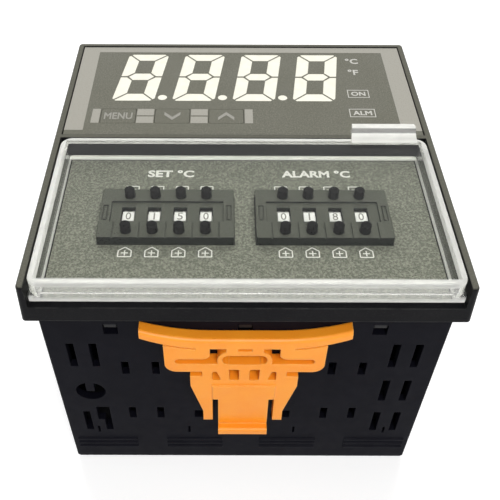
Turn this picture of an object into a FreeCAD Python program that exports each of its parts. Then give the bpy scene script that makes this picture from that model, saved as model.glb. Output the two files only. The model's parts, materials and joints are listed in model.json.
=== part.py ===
import FreeCAD, Part
import math
import os

V = FreeCAD.Vector

# Panel temperature controller, lying on its back: +X right, +Y up the front, +Z out of the front.
# The origin is the centre of the rear plane. Sizes are in millimetres and degrees.

# Front frame
FLANGE_SIZE = 96.0
FLANGE_CORNER = 1.0
FRONT_HEIGHT = 10.3
FRONT_LEAN = 0.45
FRONT_ROUND = 0.6
DECK_HEIGHT = 4.2
RIM_WIDTH = 1.6
BEZEL_WALL = 2.0
BLOCK_NEAR_Y = 2.3
BLOCK_LIP = 1.3
RIM_GROOVE = 0.4
RIM_GAP = 0.4
SKIRT_WALL = 1.6
SKIRT_LENGTH = 10.0
POST_RADIUS = 1.6
POST_INSET = 2.6
POST_ROOT = 0.8

# Case
PANEL_OVERLAP = 2.5
CASE_DEPTH = 64.5
CASE_WALL = 2.0
CASE_CORNER = 0.5
REAR_LEAN = 0.3
REAR_LEAN_LENGTH = 1.0
LEDGE_WIDTH = 1.5
LEDGE_LENGTH = 2.0

# Clearances
SEAT_GAP = 0.15
SLIDE_GAP = 0.15
PIN_GAP = 0.05
LIFT_GAP = 0.2

# Snap windows of the case and the hooks of the chassis, placed behind the panel plane
SNAP_X = (-30.0, 0.0, 30.0)
SNAP_WIDTH = 3.3
SNAP_TOP = 4.4
SNAP_HEIGHT = 3.5
HOOK_SIDE_GAP = 0.25
HOOK_SINK = 0.3
HOOK_FLAT = 1.2

# Cooling slots, placed behind the panel plane
SLOT_WIDTH = 1.8
LONG_SLOT_X = (34.8, 40.0)
LONG_SLOT_LENGTH = 9.0
LONG_SLOT_FIRST = 11.5
LONG_SLOT_PITCH = 14.6
LONG_SLOT_ROWS = 3
SHORT_SLOT_X = (20.9, 28.1)
SHORT_SLOT_LENGTH = 5.0
SHORT_SLOT_FIRST = 18.6
SHORT_SLOT_PITCH = 20.0
SHORT_SLOT_ROWS = 2
TICK_X = (13.8, 37.7)
TICK_WIDTH = 0.6
TICK_TOP = 48.0
TICK_LENGTH = 3.0
PORT_X = -37.6
PORT_DEPTH = 31.2
PORT_RADIUS = 3.65
PORT_ROW = 1
PORT_TONGUE_WIDTH = 2.0
NOTCH_WIDTH = 1.6
NOTCH_TOP = 38.5
NOTCH_LENGTH = 6.1

# Grip ridges near the rear edge
GRIP_SPANS = ((5.0, 20.0), (28.0, 44.0))
GRIP_COUNT = 3
GRIP_REAR = 6.1
GRIP_PITCH = 1.9
GRIP_HEIGHT = 0.35
GRIP_FOOT = 1.1
GRIP_CREST = 0.5

# Overlay, display and keys
OVERLAY_SINK = 0.3
OVERLAY_THICK = 0.8
OVERLAY_GAP = 0.2
DIGIT_COUNT = 4
DIGIT_PITCH = 16.2
DIGIT_LEFT = -35.1
DIGIT_BASE_Y = 18.8
DIGIT_WIDTH = 11.4
DIGIT_HEIGHT = 23.2
DIGIT_LEAN = 7.2
STROKE = 3.4
MITRE = 0.22
DIGIT_CHAMFER = 1.1
POINT_RADIUS = 1.25
POINT_OFFSET = 13.6
POINT_RISE = 1.6
SEGMENT_SINK = 0.1
MODULE_MARGIN = 1.4
MODULE_TOP_MARGIN = 0.7
MODULE_SINK = 0.05
MODULE_GAP = 0.2
KEY_NAMES = ("mode_key", "down_key", "up_key")
KEY_INSET = 9.25
KEY_PITCH = 14.1
KEY_Y = 11.9
KEY_WIDTH = 9.0
KEY_LENGTH = 6.1
KEY_CORNER = 0.5
KEY_GAP = 0.12
KEY_COLLAR = 0.7
KEY_COLLAR_THICK = 0.9
KEY_TRAVEL = 0.5
LAMP_X = 31.5
LAMP_Y = (13.5, 22.3)
LAMP_RADIUS = 1.5
LAMP_FOOT_RADIUS = 1.9
LAMP_FOOT_HEIGHT = 1.0

# Clear cover
COVER_SIDE_GAP = 0.3
COVER_FAR_GAP = 0.4
COVER_NEAR_GAP = 1.0
COVER_CORNER = 3.0
COVER_ROUND = 1.0
COVER_PROUD = 0.6
COVER_WALL = 2.0
COVER_PLATE = 1.4
HINGE_RADIUS = 1.4
PIN_RADIUS = 0.9
PIN_LENGTH = 1.3
TAB_INSET = 2.25
TAB_WIDTH = 16.8
TAB_TAPER = 0.6
TAB_HEIGHT = 2.3
TAB_REACH = 2.5
TAB_TOP_WIDTH = 1.7
TAB_SCOOP = 4.8
TAB_HOLLOW_BACK = 1.8
TAB_HOLLOW_RISE = 0.6

# Setting switches
BANK_NAMES = ("set", "alarm")
BANK_X = 18.0
BANK_Y = -22.1
BANK_WIDTH = 31.0
BANK_LENGTH = 16.0
BANK_HEIGHT = 2.6
BANK_CORNER = 0.4
BANK_WALL = 1.0
BANK_DEPTH = 14.3
BANK_PLATE = 1.3
BANK_RECESS = 0.5
BANK_RECESS_NEAR = 2.9
BANK_RECESS_FAR = 3.9
BANK_RECESS_SIDE = 1.0
BANK_GROOVE = 0.3
CAP_MARK_WIDTH = 1.2
CAP_MARK_LENGTH = 5.0
UNIT_COUNT = 4
UNIT_PITCH = 6.0
UNIT_WALL = 1.1
WINDOW_WIDTH = 3.1
WINDOW_LENGTH = 4.6
WINDOW_SINK = 0.4
WHEEL_RADIUS = 4.3
WHEEL_SIDES = 10
WHEEL_WIDTH = 4.4
DRUM_WIDTH = 2.7
RATCHET_RADIUS = 3.4
RATCHET_ROOT = 2.7
RATCHET_LEAN = 6.0
SPACER_RADIUS = 3.0
AXLE_RADIUS = 1.0
BUTTON_OFFSET = 5.8
BUTTON_RADIUS = 1.2
BUTTON_TRAVEL = 1.4
BUTTON_PRESSED_PROUD = 0.8
BUTTON_BEVEL = 0.25
BUTTON_SIDE_GAP = 0.1
SLIDER_WIDTH = 4.2
SLIDER_THICK = 1.9
SLIDER_LENGTH = 5.4
SLIDER_WALL_GAP = 0.25
LABEL_THICK = 0.25

# Clamp brackets, placed behind the panel plane and outwards from the case
CLAMP_THICK = 3.2
BAR_HALF = 23.3
BAR_TIP_TOP = 2.9
BAR_TIP_BOTTOM = 5.2
BAR_MID_TOP = 6.1
BAR_MID_BOTTOM = 9.1
BAR_MID_HALF = 7.6
BAR_ROUND = 1.0
ARM_HALF = 18.25
ARM_TOP = 7.2
ARM_GROOVE = 0.5
ARM_BOTTOM = 17.9
ARM_CORNER = 2.8
ARM_SLOT_TOP = 13.0
ARM_SLOT_BOTTOM = 14.9
ARM_SLOT_END = 15.9
ARM_SLOT_ROUND = 0.9
WEB_INNER = 7.9
WEB_OUTER = 11.1
WEB_ROUND = 1.8
RING_HALF = 6.25
RING_TOP = 10.1
RING_BOTTOM = 17.1
EYE_HALF = 5.1
EYE_TOP = 11.6
EYE_BOTTOM = 15.1
RING_POST_INNER = 1.6
RING_POST_OUTER = 4.2
STEM_HALF = 1.2
STRUT_INNER = 3.6
STRUT_FOOT = 3.4
STRUT_LEAN = 1.9
CLAMP_ROUND = 0.45
LINK_OUTER = 9.8
LEG_TOP = 19.8
LEG_HALF = 12.6
LEG_TAPER_TOP = 23.8
LEG_TAPER_BOTTOM = 34.9
LEG_END_HALF = 9.8
LEG_END = 39.1
LEG_INNER = 7.45
YOKE_TOP = 21.4
YOKE_STEP = 23.5
YOKE_PROUD = 0.4
TONGUE_HALF = 6.1
TONGUE_ROOT = 29.1
TONGUE_BACK = 1.5
TONGUE_END = 42.6
LIP_TOP = 40.0
LIP_PROUD = 2.0
LIP_ROUND = 0.7
FOOT_X = 9.0
FOOT_TOP = 33.0
FOOT_LENGTH = 2.6
FOOT_NECK = 1.3
FOOT_HEAD = 3.0
FOOT_HEAD_THICK = 1.2
CLAMP_BACK_TRAVEL = 7.3
CLAMP_PANEL_GAP = 0.1
ENTRY_OUTER = 12.2
ENTRY_LENGTH = 3.3
RACK_HALF = 4.0
RACK_TOP = 36.4
RACK_PITCH = 1.5
RACK_COUNT = 9
RACK_HEIGHT = 0.8
PAWL_WIDTH = 6.0
PAWL_LENGTH = 1.2

# Rear terminal base
TERMINAL_X = 29.0
TERMINAL_ROWS = 7
TERMINAL_PITCH = 10.4
BASE_THICK = 3.0
BASE_FACE = 9.5
BARRIER_THICK = 2.0
BARRIER_HALF = 7.5
BARRIER_TIP = 0.6
HUB_WALL = 2.0
HUB_BACK = 2.0
LUG_WIDTH = 7.6
LUG_LENGTH = 10.5
LUG_THICK = 1.0
SCREW_RADIUS = 1.6
SCREW_LENGTH = 5.5
SCREW_HEAD_RADIUS = 3.1
SCREW_HEAD = 2.2
SCREW_SLOT_WIDTH = 0.8
SCREW_SLOT_DEPTH = 1.0

# Circuit boards and what they carry
BOARD_THICK = 1.6
SIDE_BOARD_X = 33.0
SIDE_BOARD_END_GAP = 4.0
FRONT_BOARD_SIDE_GAP = 1.0
FRONT_BOARD_NEAR_GAP = 0.5
SWITCH_BOARD_FAR_Y = -6.1
HEADER_HEIGHT = 2.4
HEADER_THICK = 2.5
HEADER_LENGTH = 22.0
CORE_THICK = 16.0
CORE_STANDOFF = 3.2
CORE_WIDTH = 36.0
CORE_LEG = 12.0
CORE_YOKE = 6.0
COIL_GAP = 0.3
CORE_RISE = 6.0
CORE_DROP = 4.5
CAPACITOR_RADIUS = 8.0
CAPACITOR_LENGTH = 24.0
CAPACITOR_Y = 28.0
CAPACITOR_RISE = 20.0
CAPACITOR_BEAD = 0.5
CAPACITOR_BEAD_AT = 3.0
RELAY_DEPTH = 15.5
RELAY_WIDTH = 20.0
RELAY_CORNER = 1.0
RELAY_Y = -22.0
RELAY_RISE = 4.0
RELAY_DROP = 3.5
RELAY_GAP = 3.0
CHIP_DEPTH = 4.0
CHIP_WIDTH = 20.0
CHIP_HEIGHT = 7.6
CHIP_Y = 12.0
CHIP_RISE = 6.0
CHIP_DROP = 3.9
CHIP_COUNT = 3
TACT_SIZE = 6.0
TACT_HEIGHT = 3.5
TACT_STEM = 1.6
TACT_STEM_RADIUS = 1.7
TACT_GAP = 0.05

# Places worked out from the driving sizes
PANEL_Z = CASE_DEPTH
RIM_Z = PANEL_Z + RIM_GROOVE
FRONT_Z = PANEL_Z + FRONT_HEIGHT
DECK_Z = PANEL_Z + DECK_HEIGHT
CASE_SIZE = FLANGE_SIZE - 2 * PANEL_OVERLAP
CASE_HALF = CASE_SIZE / 2
CASE_IN = CASE_HALF - CASE_WALL
FRONT_HALF = FLANGE_SIZE / 2 - FRONT_LEAN
BAY_HALF = FRONT_HALF - RIM_WIDTH
SKIRT_HALF = CASE_IN - SEAT_GAP
SKIRT_IN = SKIRT_HALF - SKIRT_WALL
OVERLAY_TOP_Z = FRONT_Z - OVERLAY_SINK
OVERLAY_SEAT_Z = OVERLAY_TOP_Z - OVERLAY_THICK
BLOCK_UNDER_Z = OVERLAY_SEAT_Z - BEZEL_WALL
DECK_UNDER_Z = DECK_Z - BEZEL_WALL
OVERLAY_NEAR_Y = BLOCK_NEAR_Y + BLOCK_LIP
KEY_COLLAR_Z = BLOCK_UNDER_Z - KEY_GAP - KEY_COLLAR_THICK
DISPLAY_BOARD_TOP = KEY_COLLAR_Z - KEY_TRAVEL - TACT_GAP - TACT_STEM - TACT_HEIGHT
MODULE_TOP_Z = OVERLAY_SEAT_Z - MODULE_SINK
BANK_FACE_Z = DECK_Z + BANK_HEIGHT
BANK_UNDER_Z = BANK_FACE_Z - BANK_PLATE
BANK_FOOT_Z = BANK_FACE_Z - BANK_DEPTH
WHEEL_Z = BANK_FACE_Z - BANK_RECESS - WINDOW_SINK - WHEEL_RADIUS
RATCHET_WIDTH = (WHEEL_WIDTH - DRUM_WIDTH) / 2
UNIT_HALF = UNIT_COUNT * UNIT_PITCH / 2
CELL_HALF = (UNIT_PITCH - UNIT_WALL) / 2
CELL_LENGTH_HALF = BUTTON_OFFSET + SLIDER_THICK / 2 + SLIDER_WALL_GAP
SWITCH_BOARD_LOW = BANK_FOOT_Z - BOARD_THICK
SIDE_BOARD_TOP = SWITCH_BOARD_LOW - HEADER_HEIGHT
BASE_FRONT = BASE_FACE + BASE_THICK
CORE_HEIGHT = SIDE_BOARD_TOP - CORE_DROP - BASE_FRONT - CORE_RISE
CHIP_PITCH = (SIDE_BOARD_TOP - CHIP_DROP - BASE_FRONT - CHIP_RISE - CHIP_HEIGHT) / (CHIP_COUNT - 1)
RELAY_HEIGHT = (SIDE_BOARD_TOP - RELAY_DROP - BASE_FRONT - RELAY_RISE - RELAY_GAP) / 2
COVER_TOP_Z = FRONT_Z + COVER_PROUD
COVER_HALF = BAY_HALF - COVER_SIDE_GAP
COVER_NEAR_Y = COVER_NEAR_GAP - FLANGE_SIZE / 2
COVER_FAR_Y = BLOCK_NEAR_Y - COVER_FAR_GAP
COVER_FOOT_Z = DECK_Z + LIFT_GAP
HINGE_Y = COVER_NEAR_Y + HINGE_RADIUS
HINGE_Z = COVER_FOOT_Z + HINGE_RADIUS
TAB_LEFT = COVER_HALF - TAB_INSET - TAB_WIDTH
TONGUE_FACE = CLAMP_THICK + YOKE_PROUD
STRUT_OUTER = STRUT_INNER + ARM_CORNER
CLAMP_FRONT_TRAVEL = BAR_TIP_TOP - CLAMP_PANEL_GAP
ENTRY_TOP = FOOT_TOP + CLAMP_BACK_TRAVEL - 2 * SLIDE_GAP
FAR = 2 * FLANGE_SIZE
SAME = 1e-6
NEAR = 1e-3


def block(x, y, z):
    """Box between a low and a high value on each axis."""
    return Part.makeBox(x[1] - x[0], y[1] - y[0], z[1] - z[0], V(x[0], y[0], z[0]))


def around(centre, width):
    """Low and high value of a span about its centre."""
    return (centre - width / 2, centre + width / 2)


def grown(span, gap):
    """Span made longer by a gap at both ends."""
    return (span[0] - gap, span[1] + gap)


def rod(radius, start, direction, length):
    """Round bar from a start point."""
    return Part.makeCylinder(radius, length, V(*start), V(*direction))


def fused(shapes):
    """One solid from shapes that meet."""
    return shapes[0].multiFuse(shapes[1:]).removeSplitter()


def rounded_outline(x, y, radius):
    """Closed wire of a rectangle with round corners, in the plane of the two given axes at zero."""
    quarter = math.pi / 2
    corners = ((x[1], y[1], 1, 1), (x[0], y[1], -1, 1), (x[0], y[0], -1, -1), (x[1], y[0], 1, -1))
    arcs = []
    for index, (cx, cy, sx, sy) in enumerate(corners):
        mid = V(cx - sx * radius, cy - sy * radius, 0)
        ends = [mid + V(math.cos(turn), math.sin(turn), 0) * radius
                for turn in (index * quarter, (index + 0.5) * quarter, (index + 1) * quarter)]
        arcs.append(Part.Arc(*ends).toShape())
    edges = []
    for arc, following in zip(arcs, arcs[1:] + arcs[:1]):
        edges.append(arc)
        start = arc.Vertexes[-1].Point
        end = following.Vertexes[0].Point
        if start.distanceToPoint(end) > SAME:
            edges.append(Part.makeLine(start, end))
    return Part.Wire(edges)


def rounded_block(x, y, z, radius):
    """Upright block with round corners in plan."""
    outline = rounded_outline(x, y, radius)
    outline.translate(V(0, 0, z[0]))
    return Part.Face(outline).extrude(V(0, 0, z[1] - z[0]))


def tapered_block(low_size, high_size, radius, z):
    """Square upright block whose sides lean between two sizes."""
    wires = []
    for size, height in zip((low_size, high_size), z):
        outline = rounded_outline(around(0, size), around(0, size), radius)
        outline.translate(V(0, 0, height))
        wires.append(outline)
    return Part.makeLoft(wires, True, True)


def rounded_rim(shape, height, radius):
    """Shape with the edges at one height rounded."""
    edges = [edge for edge in shape.Edges
             if abs(edge.BoundBox.ZMin - height) < NEAR and abs(edge.BoundBox.ZMax - height) < NEAR]
    return shape.makeFillet(radius, edges)


def prism(points, direction):
    """Solid swept from a closed outline of points."""
    corners = [V(*point) for point in points]
    return Part.Face(Part.makePolygon(corners + corners[:1])).extrude(V(*direction))


def half_turn(shape):
    """Copy turned to the opposite side of the case."""
    copy = shape.copy()
    copy.rotate(V(0, 0, 0), V(0, 0, 1), 180)
    return copy


def wall_cut(x, depth):
    """Opening through the near wall, given behind the panel plane."""
    y = (-CASE_HALF - CASE_WALL, -CASE_IN + SEAT_GAP)
    return block(x, y, (PANEL_Z - depth[1], PANEL_Z - depth[0]))


def key_centre(index):
    """X of a key's middle."""
    return KEY_INSET - SKIRT_IN + index * KEY_PITCH


def unit_centre(bank_x, index):
    """X of the middle of one digit of a switch bank."""
    return bank_x + (index - (UNIT_COUNT - 1) / 2) * UNIT_PITCH


def bank_centre(bank):
    """X of the middle of a switch bank."""
    return -BANK_X if bank == BANK_NAMES[0] else BANK_X


# Case
def slot_cuts(with_port):
    """Cooling slots, snap windows and bracket slots of one wall, less those that a service port takes up."""
    cuts = [wall_cut(around(x, SNAP_WIDTH), (SNAP_TOP, SNAP_TOP + SNAP_HEIGHT)) for x in SNAP_X]
    for side in (-1, 1):
        for x in LONG_SLOT_X:
            for row in range(LONG_SLOT_ROWS):
                if with_port and side < 0 and row == PORT_ROW:
                    continue
                top = LONG_SLOT_FIRST + row * LONG_SLOT_PITCH
                cuts.append(wall_cut(around(side * x, SLOT_WIDTH), (top, top + LONG_SLOT_LENGTH)))
        for x in SHORT_SLOT_X:
            for row in range(SHORT_SLOT_ROWS):
                top = SHORT_SLOT_FIRST + row * SHORT_SLOT_PITCH
                cuts.append(wall_cut(around(side * x, SLOT_WIDTH), (top, top + SHORT_SLOT_LENGTH)))
        for x in TICK_X:
            cuts.append(wall_cut(around(side * x, TICK_WIDTH), (TICK_TOP, TICK_TOP + TICK_LENGTH)))
        track_top = FOOT_TOP - CLAMP_FRONT_TRAVEL - SLIDE_GAP
        track = around(side * FOOT_X, FOOT_NECK + 2 * SLIDE_GAP)
        cuts.append(wall_cut(track, (track_top, ENTRY_TOP + ENTRY_LENGTH)))
        entry = sorted((side * ENTRY_OUTER, side * (FOOT_X - FOOT_HEAD / 2 - SLIDE_GAP)))
        cuts.append(wall_cut(entry, (ENTRY_TOP, ENTRY_TOP + ENTRY_LENGTH)))
    return cuts


def service_port():
    """Round opening with a tongue hanging into it, and the stepped slot below it."""
    height = PANEL_Z - PORT_DEPTH
    wall_y = (-CASE_HALF - CASE_WALL, -CASE_IN + SEAT_GAP)
    hole = rod(PORT_RADIUS, (PORT_X, wall_y[0], height), (0, 1, 0), wall_y[1] - wall_y[0])
    tongue = block(around(PORT_X, PORT_TONGUE_WIDTH), wall_y, (height, height + 2 * PORT_RADIUS))
    inner = -LONG_SLOT_X[0] - SLOT_WIDTH / 2
    notch = wall_cut((inner - NOTCH_WIDTH, inner + SLOT_WIDTH), (NOTCH_TOP, NOTCH_TOP + NOTCH_LENGTH))
    return [hole.cut(tongue), notch]


def grip_ridges():
    """Rows of low ridges across the near wall by the rear edge."""
    ridges = []
    root = -CASE_HALF + SEAT_GAP
    crest = -CASE_HALF - GRIP_HEIGHT
    for row in range(GRIP_COUNT):
        z = GRIP_REAR + row * GRIP_PITCH
        for low, high in GRIP_SPANS:
            for start in (low, -high):
                section = ((start, root, z - GRIP_FOOT / 2), (start, crest, z - GRIP_CREST / 2),
                           (start, crest, z + GRIP_CREST / 2), (start, root, z + GRIP_FOOT / 2))
                ridges.append(prism(section, (high - low, 0, 0)))
    return ridges


def rack():
    """Saw-toothed rack on the near wall, under the bracket's tongue."""
    root = -CASE_HALF + SEAT_GAP
    crest = -CASE_HALF - RACK_HEIGHT
    start = PANEL_Z - RACK_TOP
    outline = [(-RACK_HALF, root, start)]
    for tooth in range(RACK_COUNT):
        top = start - tooth * RACK_PITCH
        outline.append((-RACK_HALF, crest, top))
        outline.append((-RACK_HALF, -CASE_HALF, top - RACK_PITCH))
    outline.append((-RACK_HALF, root, start - RACK_COUNT * RACK_PITCH))
    return prism(outline, (2 * RACK_HALF, 0, 0))


def make_case():
    """Square sleeve, open at both ends, with an inner ledge for the terminal base."""
    outside = around(0, CASE_SIZE)
    sleeve = rounded_block(outside, outside, (REAR_LEAN_LENGTH, RIM_Z), CASE_CORNER)
    rear = tapered_block(CASE_SIZE - 2 * REAR_LEAN, CASE_SIZE, CASE_CORNER, (0, REAR_LEAN_LENGTH))
    inside = around(0, 2 * CASE_IN)
    ledge_in = around(0, 2 * (CASE_IN - LEDGE_WIDTH))
    ledge_z = (BASE_FRONT, BASE_FRONT + LEDGE_LENGTH)
    shell = fused([sleeve, rear]).cut([block(inside, inside, (-FAR, ledge_z[0])),
                                       block(ledge_in, ledge_in, ledge_z),
                                       block(inside, inside, (ledge_z[1], FAR))])
    near = slot_cuts(True) + service_port()
    far = [half_turn(cut) for cut in slot_cuts(False)]
    added = grip_ridges() + [rack()]
    shell = shell.multiFuse(added + [half_turn(shape) for shape in added])
    return shell.cut(near + far).removeSplitter()


# Front frame
def snap_hook(x):
    """Wedge on the chassis that snaps into a window of the case."""
    root = -SKIRT_HALF + SEAT_GAP
    crest = -CASE_HALF + HOOK_SINK
    top = PANEL_Z - SNAP_TOP - SEAT_GAP
    low = PANEL_Z - SNAP_TOP - SNAP_HEIGHT + SEAT_GAP
    width = SNAP_WIDTH - 2 * HOOK_SIDE_GAP
    section = ((x - width / 2, root, low), (x - width / 2, crest, top - HOOK_FLAT),
               (x - width / 2, crest, top), (x - width / 2, root, top))
    return prism(section, (width, 0, 0))


def make_front_chassis():
    """Square skirt inside the case, with snap hooks and the posts that carry the switch board."""
    outside = around(0, 2 * SKIRT_HALF)
    inside = around(0, 2 * SKIRT_IN)
    skirt = block(outside, outside, (PANEL_Z - SKIRT_LENGTH, RIM_Z)).cut(block(inside, inside, (0, FAR)))
    post_reach = SKIRT_IN - POST_RADIUS + POST_ROOT
    room = block(inside, inside, (0, FAR))
    posts = []
    for x in (-post_reach, post_reach):
        for y in (-post_reach, SWITCH_BOARD_FAR_Y - POST_RADIUS):
            post = rod(POST_RADIUS, (x, y, BANK_FOOT_Z), (0, 0, 1), DECK_UNDER_Z - BANK_FOOT_Z)
            posts.append(post.common(room))
    hooks = [snap_hook(x) for x in SNAP_X]
    return fused([skirt] + posts + hooks + [half_turn(hook) for hook in hooks])


def display_posts():
    """Posts under the display block that hold its board down."""
    posts = []
    x = MODULE_GAP + POST_RADIUS + SEAT_GAP - module_span()[0][0]
    length = BLOCK_UNDER_Z + SEAT_GAP - DISPLAY_BOARD_TOP
    for y in (BLOCK_NEAR_Y + BEZEL_WALL + POST_RADIUS, SKIRT_IN - POST_INSET):
        for side in (-1, 1):
            posts.append(rod(POST_RADIUS, (side * x, y, DISPLAY_BOARD_TOP), (0, 0, 1), length))
    return posts


def module_span():
    """Low and high values of the display module in X and Y."""
    lean = DIGIT_HEIGHT * math.tan(math.radians(DIGIT_LEAN))
    right = DIGIT_LEFT + (DIGIT_COUNT - 1) * DIGIT_PITCH + DIGIT_WIDTH + lean
    x = (DIGIT_LEFT - MODULE_MARGIN, right + MODULE_MARGIN)
    y = (DIGIT_BASE_Y - MODULE_MARGIN, DIGIT_BASE_Y + DIGIT_HEIGHT + MODULE_TOP_MARGIN)
    return x, y


def key_opening(index):
    """Opening of the front for one key."""
    x = grown(around(key_centre(index), KEY_WIDTH), KEY_GAP)
    y = grown(around(KEY_Y, KEY_LENGTH), KEY_GAP)
    return rounded_block(x, y, (DECK_Z, FAR), KEY_CORNER)


def make_bezel():
    """Front frame with the deck, the raised display block and a shallow seat for the case's edge."""
    body = tapered_block(FLANGE_SIZE, FLANGE_SIZE - 2 * FRONT_LEAN, FLANGE_CORNER, (PANEL_Z, FRONT_Z))
    body = rounded_rim(body, FRONT_Z, FRONT_ROUND)
    rim = around(0, 2 * (CASE_HALF + RIM_GAP))
    inside = around(0, 2 * SKIRT_IN)
    block_y = (BLOCK_NEAR_Y + BEZEL_WALL, SKIRT_IN)
    bay = block(around(0, 2 * BAY_HALF), (-FAR, BLOCK_NEAR_Y), (DECK_Z, FAR))
    seat = block(around(0, 2 * BAY_HALF), (OVERLAY_NEAR_Y, BAY_HALF), (OVERLAY_SEAT_Z, FAR))
    cuts = [bay, seat, block(rim, rim, (0, RIM_Z)), block(inside, inside, (0, DECK_UNDER_Z)),
            block(inside, block_y, (0, BLOCK_UNDER_Z))]
    module_x, module_y = module_span()
    module_room = (DISPLAY_BOARD_TOP - SEAT_GAP, FAR)
    cuts.append(block(grown(module_x, MODULE_GAP), grown(module_y, MODULE_GAP), module_room))
    for index in range(len(KEY_NAMES)):
        cuts.append(key_opening(index))
    for y in LAMP_Y:
        cuts.append(rod(LAMP_RADIUS + SEAT_GAP, (LAMP_X, y, DECK_Z), (0, 0, 1), FAR))
    for bank in BANK_NAMES:
        opening_x = around(bank_centre(bank), 2 * (UNIT_HALF + BANK_WALL + SEAT_GAP))
        opening_y = around(BANK_Y, 2 * (CELL_LENGTH_HALF + BANK_WALL + SEAT_GAP))
        cuts.append(block(opening_x, opening_y, (0, FAR)))
    for side in (-1, 1):
        socket_x = COVER_HALF + PIN_LENGTH + PIN_GAP
        cuts.append(rod(PIN_RADIUS + PIN_GAP, (0, HINGE_Y, HINGE_Z), (side, 0, 0), socket_x))
    return fused([body.cut(cuts)] + display_posts())


# Display and keys
def digit_outlines():
    """Outlines of the seven strokes of one digit, upright, with mitred gaps and cut outer corners."""
    w = DIGIT_WIDTH
    h = DIGIT_HEIGHT
    s = STROKE
    m = MITRE
    c = DIGIT_CHAMFER
    wide = (c + m) / 2
    slim = (c - m) / 2
    top = ((c, h), (w - c, h), (w - wide, h - slim), (w - s - m, h - s), (s + m, h - s), (wide, h - slim))
    upper = ((0, h - c), (slim, h - wide), (s, h - s - m), (s, h / 2 + s / 2 + m),
             (s / 2, h / 2 + m), (0, h / 2 + m))
    middle = ((s / 2 + 2 * m, h / 2), (s + m, h / 2 + s / 2), (w - s - m, h / 2 + s / 2),
              (w - s / 2 - 2 * m, h / 2), (w - s - m, h / 2 - s / 2), (s + m, h / 2 - s / 2))
    below = [tuple((x, h - y) for x, y in outline) for outline in (top, upper)]
    left = [upper, below[1]]
    right = [tuple((w - x, y) for x, y in outline) for outline in left]
    return [top, middle, below[0]] + left + right


def segment_solids(z):
    """Strokes and decimal points of all digits between two heights."""
    lean = math.tan(math.radians(DIGIT_LEAN))
    solids = []
    for digit in range(DIGIT_COUNT):
        left = DIGIT_LEFT + digit * DIGIT_PITCH
        for outline in digit_outlines():
            corners = [(left + x + lean * y, DIGIT_BASE_Y + y, z[0]) for x, y in outline]
            solids.append(prism(corners, (0, 0, z[1] - z[0])))
        if digit < DIGIT_COUNT - 1:
            point = (left + POINT_OFFSET, DIGIT_BASE_Y + POINT_RISE, z[0])
            solids.append(rod(POINT_RADIUS, point, (0, 0, 1), z[1] - z[0]))
    return solids


def make_display_segments():
    """Light strokes that stand in the openings of the overlay."""
    return Part.makeCompound(segment_solids((MODULE_TOP_Z, OVERLAY_TOP_Z - SEGMENT_SINK)))


def make_display_module():
    """Lamp block under the strokes."""
    x, y = module_span()
    return block(x, y, (DISPLAY_BOARD_TOP, MODULE_TOP_Z))


def make_front_overlay():
    """Thin front sheet with openings for the strokes and the keys."""
    x = grown((-BAY_HALF, BAY_HALF), -OVERLAY_GAP)
    y = grown((OVERLAY_NEAR_Y, BAY_HALF), -OVERLAY_GAP)
    sheet = rounded_block(x, y, (OVERLAY_SEAT_Z, OVERLAY_TOP_Z), KEY_CORNER)
    cuts = segment_solids((DECK_Z, FAR))
    for index in range(len(KEY_NAMES)):
        cuts.append(key_opening(index))
    return sheet.cut(cuts)


def make_key(index):
    """Key cap with the collar that keeps it behind the front."""
    x = around(key_centre(index), KEY_WIDTH)
    y = around(KEY_Y, KEY_LENGTH)
    cap = rounded_block(x, y, (KEY_COLLAR_Z, OVERLAY_TOP_Z), KEY_CORNER)
    collar = rounded_block(grown(x, KEY_COLLAR), grown(y, KEY_COLLAR),
                           (KEY_COLLAR_Z, KEY_COLLAR_Z + KEY_COLLAR_THICK), KEY_CORNER)
    return fused([cap, collar])


# Clear cover
def make_cover():
    """Clear tray, open below, with a round hinge edge and two pins."""
    x = around(0, 2 * COVER_HALF)
    y = (COVER_NEAR_Y, COVER_FAR_Y)
    tray = rounded_block(x, y, (COVER_FOOT_Z, COVER_TOP_Z), COVER_CORNER)
    tray = rounded_rim(tray, COVER_TOP_Z, COVER_ROUND)
    inside = block(grown(x, -COVER_WALL), grown(y, -COVER_WALL), (0, COVER_TOP_Z - COVER_PLATE))
    heel = block((-FAR, FAR), (-FAR, HINGE_Y), (0, HINGE_Z))
    bead = rod(HINGE_RADIUS, (-COVER_HALF, HINGE_Y, HINGE_Z), (1, 0, 0), 2 * COVER_HALF)
    bead = bead.common(rounded_block(x, grown(y, COVER_WALL), (0, FAR), COVER_CORNER))
    pin_reach = COVER_HALF + PIN_LENGTH
    pin = rod(PIN_RADIUS, (-pin_reach, HINGE_Y, HINGE_Z), (1, 0, 0), 2 * pin_reach)
    pin = pin.cut(block(grown(x, -COVER_WALL), (-FAR, FAR), (0, FAR)))
    return fused([tray.cut([inside, heel]), bead, pin, finger_tab()])


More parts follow.
